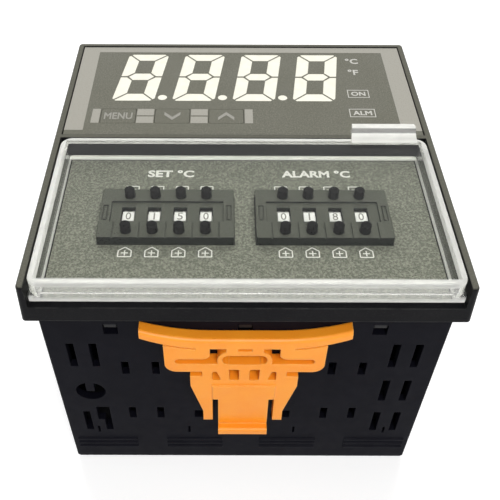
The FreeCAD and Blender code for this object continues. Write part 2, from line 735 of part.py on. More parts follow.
def finger_tab():
    """Scooped lip at the far edge that reaches over the display block."""
    base = COVER_TOP_Z - COVER_PLATE
    under = FRONT_Z + LIFT_GAP
    top = COVER_TOP_Z + TAB_HEIGHT
    end_y = COVER_FAR_Y + TAB_REACH
    crest_y = end_y - TAB_TOP_WIDTH
    start_y = COVER_FAR_Y - TAB_SCOOP
    hollow = V(0, crest_y - TAB_HOLLOW_BACK, COVER_TOP_Z + TAB_HOLLOW_RISE)
    scoop = Part.Arc(V(0, start_y, COVER_TOP_Z), hollow, V(0, crest_y, top)).toShape()
    corners = [V(0, crest_y, top), V(0, end_y, top), V(0, end_y, under), V(0, COVER_FAR_Y, under),
               V(0, COVER_FAR_Y, base), V(0, start_y, base), V(0, start_y, COVER_TOP_Z)]
    lines = [Part.makeLine(a, b) for a, b in zip(corners, corners[1:])]
    lip = Part.Face(Part.Wire([scoop] + lines)).extrude(V(TAB_WIDTH, 0, 0))
    lip.translate(V(TAB_LEFT, 0, 0))
    right = TAB_LEFT + TAB_WIDTH
    plan = ((TAB_LEFT, start_y, 0), (right, start_y, 0),
            (right - TAB_TAPER, end_y, 0), (TAB_LEFT + TAB_TAPER, end_y, 0))
    return lip.common(prism(plan, (0, 0, FAR)))


# Setting switches
def make_switch_body(bank):
    """Housing of four digits with windows, button holes and one cell for each wheel."""
    bank_x = bank_centre(bank)
    head_x = around(bank_x, BANK_WIDTH)
    head_y = around(BANK_Y, BANK_LENGTH)
    head = rounded_block(head_x, head_y, (DECK_Z, BANK_FACE_Z), BANK_CORNER)
    lower_x = around(bank_x, 2 * (UNIT_HALF + BANK_WALL))
    lower_y = around(BANK_Y, 2 * (CELL_LENGTH_HALF + BANK_WALL))
    lower = block(lower_x, lower_y, (BANK_FOOT_Z, DECK_Z))
    recess_y = (BANK_Y - BANK_RECESS_NEAR, BANK_Y + BANK_RECESS_FAR)
    recess_x = around(bank_x, 2 * (UNIT_HALF + BANK_RECESS_SIDE))
    cuts = [block(recess_x, recess_y, (BANK_FACE_Z - BANK_RECESS, FAR))]
    for index in range(UNIT_COUNT):
        x = unit_centre(bank_x, index)
        cuts.append(block(around(x, 2 * CELL_HALF), around(BANK_Y, 2 * CELL_LENGTH_HALF), (0, BANK_UNDER_Z)))
        cuts.append(block(around(x, WINDOW_WIDTH), around(BANK_Y, WINDOW_LENGTH), (0, FAR)))
        for y in around(BANK_Y, 2 * BUTTON_OFFSET):
            cuts.append(rod(BUTTON_RADIUS + BUTTON_SIDE_GAP, (x, y, BANK_FOOT_Z), (0, 0, 1), FAR))
    for index in range(UNIT_COUNT + 1):
        x = bank_x - UNIT_HALF + index * UNIT_PITCH
        cuts.append(block(around(x, BANK_GROOVE), (head_y[0], recess_y[0]), (BANK_FACE_Z - BANK_GROOVE, FAR)))
    axle_reach = UNIT_HALF + BANK_WALL
    cuts.append(rod(AXLE_RADIUS, (bank_x - axle_reach, BANK_Y, WHEEL_Z), (1, 0, 0), 2 * axle_reach))
    for side in (-1, 1):
        mark_x = around(bank_x + side * (BANK_WIDTH / 2 + UNIT_HALF + BANK_RECESS_SIDE) / 2, CAP_MARK_WIDTH)
        mark_y = around(BANK_Y, CAP_MARK_LENGTH)
        outer = block(mark_x, mark_y, (BANK_FACE_Z - BANK_GROOVE, FAR))
        inner = block(grown(mark_x, -BANK_GROOVE), grown(mark_y, -BANK_GROOVE), (0, FAR))
        cuts.append(outer.cut(inner))
    return fused([head, lower]).cut(cuts)


def make_wheel(bank_x, index):
    """Ten-sided number drum, one flat in the window, with a ratchet on its left and a spacer on its right."""
    x = unit_centre(bank_x, index) - WHEEL_WIDTH / 2
    step = 2 * math.pi / WHEEL_SIDES
    drum = []
    for side in range(WHEEL_SIDES):
        turn = math.pi / 2 + (side + 0.5) * step
        y = BANK_Y + WHEEL_RADIUS * math.cos(turn)
        drum.append((x + RATCHET_WIDTH, y, WHEEL_Z + WHEEL_RADIUS * math.sin(turn)))
    body = prism(drum, (DRUM_WIDTH, 0, 0))
    ratchet = prism(teeth_outline(x), (RATCHET_WIDTH, 0, 0))
    spacer = rod(SPACER_RADIUS, (x + WHEEL_WIDTH - RATCHET_WIDTH, BANK_Y, WHEEL_Z), (1, 0, 0), RATCHET_WIDTH)
    bore = rod(AXLE_RADIUS + PIN_GAP, (x, BANK_Y, WHEEL_Z), (1, 0, 0), WHEEL_WIDTH)
    return fused([body, ratchet, spacer]).cut(bore)


def teeth_outline(x):
    """Saw-tooth outline of the ratchet."""
    step = 2 * math.pi / WHEEL_SIDES
    outline = []
    for tooth in range(WHEEL_SIDES):
        turn = math.pi / 2 + (tooth + 0.5) * step
        for radius, angle in ((RATCHET_RADIUS, turn), (RATCHET_ROOT, turn + math.radians(RATCHET_LEAN))):
            outline.append((x, BANK_Y + radius * math.cos(angle), WHEEL_Z + radius * math.sin(angle)))
    return outline


def make_axle(bank):
    """Axle through all wheels of a bank."""
    reach = UNIT_HALF + BANK_WALL
    return rod(AXLE_RADIUS, (bank_centre(bank) - reach, BANK_Y, WHEEL_Z), (1, 0, 0), 2 * reach)


def make_button(bank_x, index, side):
    """Round push button on a slider, plus side near and minus side far."""
    x = unit_centre(bank_x, index)
    y = BANK_Y + side * BUTTON_OFFSET
    slider_top = BANK_UNDER_Z - SLIDE_GAP
    cap_top = BANK_FACE_Z + BUTTON_PRESSED_PROUD + BUTTON_TRAVEL
    cap = rod(BUTTON_RADIUS, (x, y, slider_top), (0, 0, 1), cap_top - slider_top - BUTTON_BEVEL)
    bevel = Part.makeCone(BUTTON_RADIUS, BUTTON_RADIUS - BUTTON_BEVEL, BUTTON_BEVEL,
                          V(x, y, cap_top - BUTTON_BEVEL), V(0, 0, 1))
    slider = block(around(x, SLIDER_WIDTH), around(y, SLIDER_THICK), (slider_top - SLIDER_LENGTH, slider_top))
    return fused([cap, bevel, slider])


def make_deck_label():
    """Thin sheet on the deck round both switch banks."""
    x = around(0, 2 * (COVER_HALF - COVER_WALL - COVER_SIDE_GAP))
    near = HINGE_Y + HINGE_RADIUS + COVER_SIDE_GAP
    far = COVER_FAR_Y - COVER_WALL - COVER_SIDE_GAP
    sheet = block(x, (near, far), (DECK_Z, DECK_Z + LABEL_THICK))
    cuts = []
    for bank in BANK_NAMES:
        head_x = grown(around(bank_centre(bank), BANK_WIDTH), SEAT_GAP)
        cuts.append(block(head_x, grown(around(BANK_Y, BANK_LENGTH), SEAT_GAP), (0, FAR)))
    return sheet.cut(cuts)


# Clamp brackets
def clamp_plate(outline, low=SLIDE_GAP, high=CLAMP_THICK):
    """Flat piece of the near bracket from X and depth values, between two distances from the case."""
    corners = [(x, -CASE_HALF - low, PANEL_Z - depth) for x, depth in outline]
    return prism(corners, (0, low - high, 0))


def clamp_rectangle(x, depth, low=SLIDE_GAP, high=CLAMP_THICK):
    """Flat piece with square corners."""
    return clamp_plate(((x[0], depth[0]), (x[1], depth[0]), (x[1], depth[1]), (x[0], depth[1])), low, high)


def clamp_rounded(x, depth, radius, low=SLIDE_GAP, high=CLAMP_THICK):
    """Flat piece with round corners."""
    outline = rounded_outline(x, (-depth[1], -depth[0]), radius)
    outline.rotate(V(0, 0, 0), V(1, 0, 0), 90)
    outline.translate(V(0, -CASE_HALF - low, PANEL_Z))
    return Part.Face(outline).extrude(V(0, low - high, 0))


def bow(tip, middle):
    """Edges of a bowed line from the left tip to the right, level in its middle, at two depths."""
    run = BAR_HALF - BAR_MID_HALF
    drop = middle - tip
    radius = (run * run + drop * drop) / (2 * drop)
    turn = math.asin(run / radius) / 2
    knee = (BAR_MID_HALF + radius * math.sin(turn), middle - radius * (1 - math.cos(turn)))
    half = ((BAR_MID_HALF, middle), knee, (BAR_HALF, tip))
    left = [V(-x, 0, -depth) for x, depth in half]
    right = [V(x, 0, -depth) for x, depth in half]
    arcs = [Part.Arc(*points).toShape() for points in (left[::-1], right)]
    return [arcs[0], Part.makeLine(left[0], right[0]), arcs[1]]


def clamp_bar():
    """Bowed bar whose raised tips press on the panel."""
    upper = bow(BAR_TIP_TOP, BAR_MID_TOP)
    lower = bow(BAR_TIP_BOTTOM, BAR_MID_BOTTOM)
    tips = [Part.makeLine(V(x, 0, -BAR_TIP_TOP), V(x, 0, -BAR_TIP_BOTTOM)) for x in (BAR_HALF, -BAR_HALF)]
    outline = Part.Wire(upper + tips[:1] + lower[::-1] + tips[1:])
    outline.translate(V(0, -CASE_HALF - SLIDE_GAP, PANEL_Z))
    bar = Part.Face(outline).extrude(V(0, SLIDE_GAP - CLAMP_THICK, 0))
    front = -CASE_HALF - CLAMP_THICK
    edges = [edge for edge in bar.Edges
             if abs(edge.BoundBox.YMin - front) < SAME and abs(edge.BoundBox.YMax - front) < SAME
             and edge.BoundBox.ZMin > PANEL_Z - BAR_MID_TOP - NEAR and edge.BoundBox.XLength > SAME]
    return bar.makeFillet(BAR_ROUND, edges)


def clamp_arm(side, bar):
    """Folded spring arm at one side, a narrow groove under the bar, with its slot and its web to the bar."""
    def span(inner, outer):
        return tuple(sorted((side * inner, side * outer)))

    lower = clamp_rounded(span(STRUT_INNER, ARM_HALF), (ARM_SLOT_TOP - ARM_CORNER, ARM_BOTTOM), ARM_CORNER)
    upper = clamp_rectangle(span(STRUT_INNER, ARM_HALF), (ARM_TOP, ARM_SLOT_TOP))
    groove = bar.translated(V(0, 0, -ARM_GROOVE))
    arm = fused([lower, upper]).cut([bar, groove])
    slot = clamp_rounded(span(RING_HALF, ARM_SLOT_END), (ARM_SLOT_TOP, ARM_SLOT_BOTTOM), ARM_SLOT_ROUND)
    gap = clamp_rectangle(span(RING_HALF, WEB_INNER), (0, ARM_SLOT_BOTTOM))
    inner = clamp_rectangle(span(0, RING_HALF), (0, ARM_SLOT_BOTTOM))
    web = clamp_rectangle(span(WEB_INNER, WEB_OUTER), (ARM_TOP, ARM_SLOT_TOP - WEB_ROUND))
    round_corner = clamp_rectangle(span(WEB_INNER, WEB_INNER + WEB_ROUND),
                                   (ARM_SLOT_TOP - WEB_ROUND, ARM_SLOT_TOP))
    keep = rod(WEB_ROUND, (side * (WEB_INNER + WEB_ROUND), -CASE_HALF, PANEL_Z - ARM_SLOT_TOP + WEB_ROUND),
               (0, -1, 0), CLAMP_THICK)
    return fused([arm.cut([slot, gap, inner, round_corner.cut(keep)]), web])


def clamp_leg(side):
    """Tapering leg at one side with the foot that slides in the case."""
    outline = ((LEG_INNER, LEG_TOP), (LEG_HALF, LEG_TOP), (LEG_HALF, LEG_TAPER_TOP),
               (LEG_END_HALF, LEG_TAPER_BOTTOM), (LEG_END_HALF, LEG_END), (LEG_INNER, LEG_END))
    leg = clamp_plate([(side * x, depth) for x, depth in outline])
    depth = (FOOT_TOP, FOOT_TOP + FOOT_LENGTH)
    inner_face = -CASE_WALL - SLIDE_GAP
    neck = clamp_rectangle(around(side * FOOT_X, FOOT_NECK), depth, inner_face, CLAMP_THICK)
    head = clamp_rectangle(around(side * FOOT_X, FOOT_HEAD), depth, inner_face - FOOT_HEAD_THICK, inner_face)
    link = clamp_rectangle(tuple(sorted((side * LEG_INNER, side * LINK_OUTER))),
                           (ARM_BOTTOM - SLIDE_GAP, LEG_TOP + SLIDE_GAP))
    strut_top = EYE_BOTTOM + SLIDE_GAP
    strut_end = YOKE_TOP + SLIDE_GAP
    strut_line = ((STRUT_INNER, strut_top), (STRUT_OUTER, strut_top), (STRUT_OUTER, ARM_BOTTOM),
                  (STRUT_FOOT + STRUT_LEAN, strut_end), (STRUT_FOOT, strut_end), (STRUT_INNER, RING_BOTTOM))
    strut = clamp_plate([(side * x, depth) for x, depth in strut_line])
    post = clamp_rectangle(tuple(sorted((side * RING_POST_INNER, side * RING_POST_OUTER))),
                           (BAR_MID_BOTTOM - SLIDE_GAP, EYE_TOP - SLIDE_GAP))
    return [leg, neck, head, link, strut, post]


def window_corners(clamp, ring_flat):
    """Edges in the corners of the openings between the eye and the yoke."""
    reach = CLAMP_THICK - SLIDE_GAP
    corners = []
    for edge in clamp.Edges:
        x = abs(edge.BoundBox.XMin)
        depth = PANEL_Z - edge.BoundBox.ZMax
        through = abs(edge.BoundBox.YLength - reach) < NEAR and abs(edge.Length - reach) < NEAR
        inside = RING_BOTTOM - NEAR < depth < YOKE_TOP + NEAR and x < LEG_INNER + NEAR
        if through and inside and abs(x - ring_flat) > NEAR:
            corners.append(edge)
    return corners


def make_clamp():
    """Near bracket in one piece: bowed bar, spring arms, eye, legs and the locking tongue."""
    ring_radius = (RING_BOTTOM - RING_TOP) / 2 - SLIDE_GAP
    ring = clamp_rounded(around(0, 2 * RING_HALF), (RING_TOP, RING_BOTTOM), ring_radius)
    eye_radius = (EYE_BOTTOM - EYE_TOP) / 2 - SLIDE_GAP
    eye = clamp_rounded(around(0, 2 * EYE_HALF), (EYE_TOP, EYE_BOTTOM), eye_radius)
    stem = clamp_rectangle(around(0, 2 * STEM_HALF), (EYE_BOTTOM + SLIDE_GAP, YOKE_TOP + SLIDE_GAP))
    yoke = clamp_rectangle(around(0, 2 * LEG_INNER), (YOKE_TOP, TONGUE_ROOT))
    step = clamp_rectangle(around(0, 2 * LEG_INNER), (YOKE_STEP, TONGUE_ROOT), CLAMP_THICK, TONGUE_FACE)
    tongue = clamp_rectangle(around(0, 2 * TONGUE_HALF), (TONGUE_ROOT, TONGUE_END), TONGUE_BACK, TONGUE_FACE)
    lip = clamp_rectangle(around(0, 2 * TONGUE_HALF), (LIP_TOP, TONGUE_END),
                          TONGUE_BACK, TONGUE_FACE + LIP_PROUD)
    lip_face = -CASE_HALF - TONGUE_FACE - LIP_PROUD
    lip_edges = [edge for edge in lip.Edges
                 if abs(edge.BoundBox.YMax - lip_face) < SAME and edge.BoundBox.XLength > TONGUE_HALF]
    lip = lip.makeFillet(LIP_ROUND, lip_edges)
    pawl_depth = (LIP_TOP, LIP_TOP + PAWL_LENGTH)
    pawl = clamp_rectangle(around(0, PAWL_WIDTH), pawl_depth, RACK_HEIGHT + SLIDE_GAP, TONGUE_FACE)
    bar = clamp_bar()
    pieces = [bar, ring.cut(eye), stem, yoke, step, tongue, lip, pawl]
    for side in (-1, 1):
        pieces.append(clamp_arm(side, bar))
        pieces.extend(clamp_leg(side))
    clamp = fused(pieces)
    return clamp.makeFillet(CLAMP_ROUND, window_corners(clamp, RING_HALF - ring_radius))


# Rear terminal base
def terminal_places():
    """X and Y of every terminal."""
    rows = [(row - (TERMINAL_ROWS - 1) / 2) * TERMINAL_PITCH for row in range(TERMINAL_ROWS)]
    return [(side * TERMINAL_X, y) for side in (-1, 1) for y in rows]


def make_terminal_base():
    """Rear plate with a hollow middle and a barrier between neighbouring terminals."""
    span = around(0, 2 * (CASE_IN - SEAT_GAP))
    plate = block(span, span, (BASE_FACE, BASE_FRONT))
    hub_x = around(0, 2 * (TERMINAL_X - BARRIER_HALF))
    hub_y = around(0, TERMINAL_ROWS * TERMINAL_PITCH + BARRIER_THICK)
    hub = block(hub_x, hub_y, (HUB_BACK, BASE_FACE))
    room = block(grown(hub_x, -HUB_WALL), grown(hub_y, -HUB_WALL), (HUB_BACK + HUB_WALL, FAR))
    pieces = [plate, hub]
    for side in (-1, 1):
        barrier_x = around(side * TERMINAL_X, 2 * BARRIER_HALF)
        for row in range(TERMINAL_ROWS + 1):
            y = (row - TERMINAL_ROWS / 2) * TERMINAL_PITCH
            pieces.append(block(barrier_x, around(y, BARRIER_THICK), (BARRIER_TIP, BASE_FACE)))
    holes = [rod(SCREW_RADIUS, (x, y, 0), (0, 0, 1), FAR) for x, y in terminal_places()]
    return fused(pieces).cut([room] + holes)


def make_terminal_plates():
    """Contact plate of every terminal."""
    plates = []
    for x, y in terminal_places():
        plate = block(around(x, LUG_LENGTH), around(y, LUG_WIDTH), (BASE_FACE - LUG_THICK, BASE_FACE))
        plates.append(plate.cut(rod(SCREW_RADIUS, (x, y, 0), (0, 0, 1), BASE_FRONT)))
    return Part.makeCompound(plates)


def make_terminal_screws():
    """Slotted screw of every terminal."""
    seat = BASE_FACE - LUG_THICK
    screws = []
    for x, y in terminal_places():
        head = rod(SCREW_HEAD_RADIUS, (x, y, seat), (0, 0, -1), SCREW_HEAD)
        shank = rod(SCREW_RADIUS, (x, y, seat), (0, 0, 1), SCREW_LENGTH)
        slot_z = (seat - SCREW_HEAD, seat - SCREW_HEAD + SCREW_SLOT_DEPTH)
        reach = SCREW_HEAD_RADIUS * 2
        slot = block(around(x, reach + SCREW_HEAD), around(y, SCREW_SLOT_WIDTH), slot_z)
        screws.append(fused([head, shank]).cut(slot))
    return Part.makeCompound(screws)


# Circuit boards and what they carry
def side_board(side):
    """Upright board between the terminal base and the front boards."""
    x = around(side * SIDE_BOARD_X, BOARD_THICK)
    reach = CASE_IN - LEDGE_WIDTH - SIDE_BOARD_END_GAP
    return block(x, (-reach, reach), (BASE_FRONT, SIDE_BOARD_TOP))


def make_display_board():
    """Board behind the display block."""
    reach = SKIRT_IN - FRONT_BOARD_SIDE_GAP
    near = BLOCK_NEAR_Y + BEZEL_WALL + FRONT_BOARD_NEAR_GAP
    return block((-reach, reach), (near, reach), (DISPLAY_BOARD_TOP - BOARD_THICK, DISPLAY_BOARD_TOP))


def make_switch_board():
    """Board under the setting switches."""
    reach = SKIRT_IN - FRONT_BOARD_SIDE_GAP
    return block((-reach, reach), (-reach, SWITCH_BOARD_FAR_Y), (SWITCH_BOARD_LOW, BANK_FOOT_Z))


def make_board_headers():
    """Connectors between the side boards and the front boards."""
    headers = []
    for side in (-1, 1):
        x = around(side * SIDE_BOARD_X, HEADER_THICK)
        headers.append(block(x, around(BANK_Y, HEADER_LENGTH), (SIDE_BOARD_TOP, SWITCH_BOARD_LOW)))
        far_z = (SIDE_BOARD_TOP, DISPLAY_BOARD_TOP - BOARD_THICK)
        headers.append(block(x, around(-BANK_Y, HEADER_LENGTH), far_z))
    return Part.makeCompound(headers)


def transformer_spans():
    """Core and coil spans on the left side board."""
    board_face = -SIDE_BOARD_X + BOARD_THICK / 2
    core_x = (board_face + CORE_STANDOFF, board_face + CORE_STANDOFF + CORE_THICK)
    core_z = (BASE_FRONT + CORE_RISE, BASE_FRONT + CORE_RISE + CORE_HEIGHT)
    coil_x = (board_face, core_x[1] + CORE_STANDOFF)
    return core_x, core_z, coil_x


def make_transformer_core():
    """Three-legged core."""
    core_x, core_z, _ = transformer_spans()
    core = block(core_x, around(0, CORE_WIDTH), core_z)
    windows = []
    for side in (-1, 1):
        y = sorted((side * CORE_LEG / 2, side * (CORE_WIDTH / 2 - CORE_YOKE)))
        windows.append(block((-FAR, FAR), y, grown(core_z, -CORE_YOKE)))
    return core.cut(windows)


def make_transformer_coil():
    """Winding round the middle leg, standing on the board."""
    core_x, core_z, coil_x = transformer_spans()
    coil_y = around(0, CORE_WIDTH - 2 * CORE_YOKE - 2 * COIL_GAP)
    coil = block(coil_x, coil_y, grown(core_z, -CORE_YOKE - COIL_GAP))
    leg = block(grown(core_x, COIL_GAP), around(0, CORE_LEG + 2 * COIL_GAP), (0, FAR))
    return coil.cut(leg)


def make_capacitor():
    """Round can with a rolled bead near its foot."""
    board_face = -SIDE_BOARD_X + BOARD_THICK / 2
    r = CAPACITOR_RADIUS
    b = CAPACITOR_BEAD
    foot = CAPACITOR_BEAD_AT
    section = ((0, 0), (0, r), (foot - b, r), (foot, r - b), (foot + b, r), (CAPACITOR_LENGTH - b, r),
               (CAPACITOR_LENGTH, r - b), (CAPACITOR_LENGTH, 0))
    outline = [V(board_face + x, y, 0) for x, y in section]
    can = Part.Face(Part.makePolygon(outline + outline[:1])).revolve(V(0, 0, 0), V(1, 0, 0), 360)
    can.translate(V(0, CAPACITOR_Y, BASE_FRONT + CAPACITOR_RISE))
    return can


def make_relay(index):
    """Relay on the right side board."""
    board_face = SIDE_BOARD_X - BOARD_THICK / 2
    low = BASE_FRONT + RELAY_RISE + index * (RELAY_HEIGHT + RELAY_GAP)
    side = (low, low + RELAY_HEIGHT)
    relay = rounded_block(around(RELAY_Y, RELAY_WIDTH), side, (0, RELAY_DEPTH), RELAY_CORNER)
    relay.rotate(V(0, 0, 0), V(1, 1, 1), 120)
    relay.translate(V(board_face - RELAY_DEPTH, 0, 0))
    return relay


def make_circuit_chips():
    """Row of chips on the right side board."""
    board_face = SIDE_BOARD_X - BOARD_THICK / 2
    chips = []
    for index in range(CHIP_COUNT):
        low = BASE_FRONT + CHIP_RISE + index * CHIP_PITCH
        x = (board_face - CHIP_DEPTH, board_face)
        chips.append(block(x, around(CHIP_Y, CHIP_WIDTH), (low, low + CHIP_HEIGHT)))
    return Part.makeCompound(chips)


def make_key_switches():
    """Small switch under every key."""
    switches = []
    for index in range(len(KEY_NAMES)):
        x = key_centre(index)
        body_z = (DISPLAY_BOARD_TOP, DISPLAY_BOARD_TOP + TACT_HEIGHT)
        body = block(around(x, TACT_SIZE), around(KEY_Y, TACT_SIZE), body_z)
        stem = rod(TACT_STEM_RADIUS, (x, KEY_Y, DISPLAY_BOARD_TOP), (0, 0, 1), TACT_HEIGHT + TACT_STEM)
        switches.append(fused([body, stem]))
    return Part.makeCompound(switches)


def make_indicator_lamps():
    """Domed lamps behind the overlay."""
    lamps = []
    for y in LAMP_Y:
        dome_z = OVERLAY_SEAT_Z - SEAT_GAP - LAMP_RADIUS
        stem = rod(LAMP_RADIUS, (LAMP_X, y, DISPLAY_BOARD_TOP), (0, 0, 1), dome_z - DISPLAY_BOARD_TOP)
        dome = Part.makeSphere(LAMP_RADIUS, V(LAMP_X, y, dome_z))
        foot = rod(LAMP_FOOT_RADIUS, (LAMP_X, y, DISPLAY_BOARD_TOP), (0, 0, 1), LAMP_FOOT_HEIGHT)
        lamps.append(fused([stem, dome, foot]))
    return Part.makeCompound(lamps)


def all_nodes():
    """Name and shape of every piece."""
    clamp = make_clamp()
    nodes = {
        "case": make_case(),
        "bezel": make_bezel(),
        "front_chassis": make_front_chassis(),
        "front_overlay": make_front_overlay(),
        "display_module": make_display_module(),
        "display_segments": make_display_segments(),
        "cover": make_cover(),
        "deck_label": make_deck_label(),
        "lower_bracket": clamp,
        "upper_bracket": half_turn(clamp),
        "terminal_base": make_terminal_base(),
        "terminal_plates": make_terminal_plates(),
        "terminal_screws": make_terminal_screws(),
        "power_board": side_board(-1),
        "control_board": side_board(1),
        "display_board": make_display_board(),
        "switch_board": make_switch_board(),
        "board_headers": make_board_headers(),
        "transformer_core": make_transformer_core(),
        "transformer_coil": make_transformer_coil(),
        "capacitor": make_capacitor(),
        "output_relay": make_relay(0),
        "alarm_relay": make_relay(1),
        "circuit_chips": make_circuit_chips(),
        "key_switches": make_key_switches(),
        "indicator_lamps": make_indicator_lamps(),
    }
    for index, name in enumerate(KEY_NAMES):
        nodes[name] = make_key(index)
    for bank in BANK_NAMES:
        nodes[bank + "_switch_body"] = make_switch_body(bank)
        nodes[bank + "_axle"] = make_axle(bank)
        for index in range(UNIT_COUNT):
            unit = str(index + 1)
            nodes[bank + "_wheel_" + unit] = make_wheel(bank_centre(bank), index)
            nodes[bank + "_plus_" + unit] = make_button(bank_centre(bank), index, -1)
            nodes[bank + "_minus_" + unit] = make_button(bank_centre(bank), index, 1)
    return nodes


os.makedirs("parts", exist_ok=True)
for node, shape in all_nodes().items():
    shape.exportStep("parts/" + node + ".step")
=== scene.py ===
"""Looks of a square panel temperature controller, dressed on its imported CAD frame.

Lengths are metres in the frame of the CAD part: +X right, +Y up the front, +Z out of the front.
"""

import json
import logging
import math
from dataclasses import dataclass
from enum import Enum
from typing import Protocol

import bmesh
import bpy
from bpy.types import Material, Mesh, NodeSocket
from mathutils import Matrix, Vector


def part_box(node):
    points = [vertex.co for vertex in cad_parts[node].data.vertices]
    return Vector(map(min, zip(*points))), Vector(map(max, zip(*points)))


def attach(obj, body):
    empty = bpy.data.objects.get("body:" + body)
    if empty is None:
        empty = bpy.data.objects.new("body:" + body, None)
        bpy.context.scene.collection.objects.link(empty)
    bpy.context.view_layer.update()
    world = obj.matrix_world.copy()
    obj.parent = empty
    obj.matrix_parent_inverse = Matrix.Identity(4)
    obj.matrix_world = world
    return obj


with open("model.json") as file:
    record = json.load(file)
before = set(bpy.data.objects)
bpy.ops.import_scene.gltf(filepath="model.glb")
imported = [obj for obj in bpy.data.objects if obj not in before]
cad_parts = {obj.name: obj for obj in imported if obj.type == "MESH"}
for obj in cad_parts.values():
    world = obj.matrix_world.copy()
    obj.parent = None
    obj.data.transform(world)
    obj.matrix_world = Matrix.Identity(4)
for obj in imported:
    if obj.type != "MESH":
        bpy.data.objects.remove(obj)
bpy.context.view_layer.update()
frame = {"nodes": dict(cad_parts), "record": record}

MM = 0.001
LOG = logging.getLogger("controller")

HOUSING = "housing"
COVER = "cover"

Colour = tuple[float, float, float]
Point = tuple[float, float]
Outline = list[Point]

# Ranges of a mask and of the values that a noise mostly takes.
FULL: Point = (0.0, 1.0)
NOISE_CORE: Point = (0.35, 0.65)
NOISE_SPAN: Point = (0.3, 0.7)

# Lettering is made at a type size of one, then cleaned and sized.
TYPE_DEPTH = 0.02
TYPE_WELD = 1e-4
TYPE_STEPS = 3
FUSED_WELD = 0.0005 * MM
FLAT_ANGLE = 0.01


class Bank(Enum):
    """The two setting switches, by the first word of their nodes."""

    SET = "set"
    ALARM = "alarm"


class Sign(Enum):
    """The two icons beside the wheels, by the word in their names."""

    PLUS = "plus"
    MINUS = "minus"


class Key(Enum):
    """The three keys, by their nodes."""

    MODE = "mode_key"
    DOWN = "down_key"
    UP = "up_key"


class Slot(Enum):
    """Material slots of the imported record."""

    CASE = "case_plastic"
    BEZEL = "bezel_plastic"
    OVERLAY = "overlay_film"
    DISPLAY = "display_face"
    SEGMENT = "segment_white"
    BASE = "base_plastic"
    BRASS = "plated_brass"
    STEEL = "screw_steel"
    BOARD = "board_green"
    PART = "part_black"
    CORE = "core_steel"
    COIL = "coil_copper"
    CAN = "can_aluminium"
    RELAY = "relay_plastic"
    LAMP = "lamp_red"
    SWITCH = "switch_grey"
    COVER = "clear_cover"
    BRACKET = "orange_plastic"
    WHEEL = "wheel_white"
    BUTTON = "button_black"


class NodeGraph:
    """Shader node tree with short helpers for adding nodes."""

    def __init__(self, tree: bpy.types.NodeTree) -> None:
        """Keeps the tree that the helpers add to."""
        self.tree = tree

    def feed(self, node: bpy.types.Node, inputs: dict[str, object]) -> None:
        """Sets or links inputs of a node.

        Args:
            node: The node to feed.
            inputs: Input names with a socket to link or a value to set.
        """
        for name, value in inputs.items():
            if isinstance(value, NodeSocket):
                self.tree.links.new(value, node.inputs[name])
            elif isinstance(value, tuple) and node.inputs[name].type == "RGBA":
                node.inputs[name].default_value = (*value, 1.0)
            else:
                node.inputs[name].default_value = value

    def add(self, kind: str, inputs: dict[str, object] | None = None,
            **settings: object) -> bpy.types.Node:
        """Adds a node.

        Args:
            kind: Blender's name of the node type.
            inputs: Inputs to link or set.
            settings: Attributes of the node.

        Returns:
            The new node.
        """
        node = self.tree.nodes.new(kind)
        for name, value in settings.items():
            setattr(node, name, value)
        self.feed(node, inputs or {})
        return node

    def remap(self, value: NodeSocket, source: Point, target: Point) -> NodeSocket:
        """Maps a value from one range to another, held inside the target.

        Args:
            value: The value to map.
            source: Range that the value comes from.
            target: Range that it goes to.

        Returns:
            The mapped value.
        """
        inputs = {"Value": value, "From Min": source[0], "From Max": source[1],
                  "To Min": target[0], "To Max": target[1]}
        return self.add("ShaderNodeMapRange", inputs).outputs["Result"]

    def calc(self, operation: str, first: object, second: object = 0.0) -> NodeSocket:
        """Adds a sum of two values.

        Args:
            operation: Blender's name of the sum.
            first: First value or socket.
            second: Second value or socket.

        Returns:
            The result.
        """
        node = self.add("ShaderNodeMath", operation=operation)
        for socket, value in zip(node.inputs, (first, second)):
            if isinstance(value, NodeSocket):
                self.tree.links.new(value, socket)
            else:
                socket.default_value = value
        return node.outputs[0]


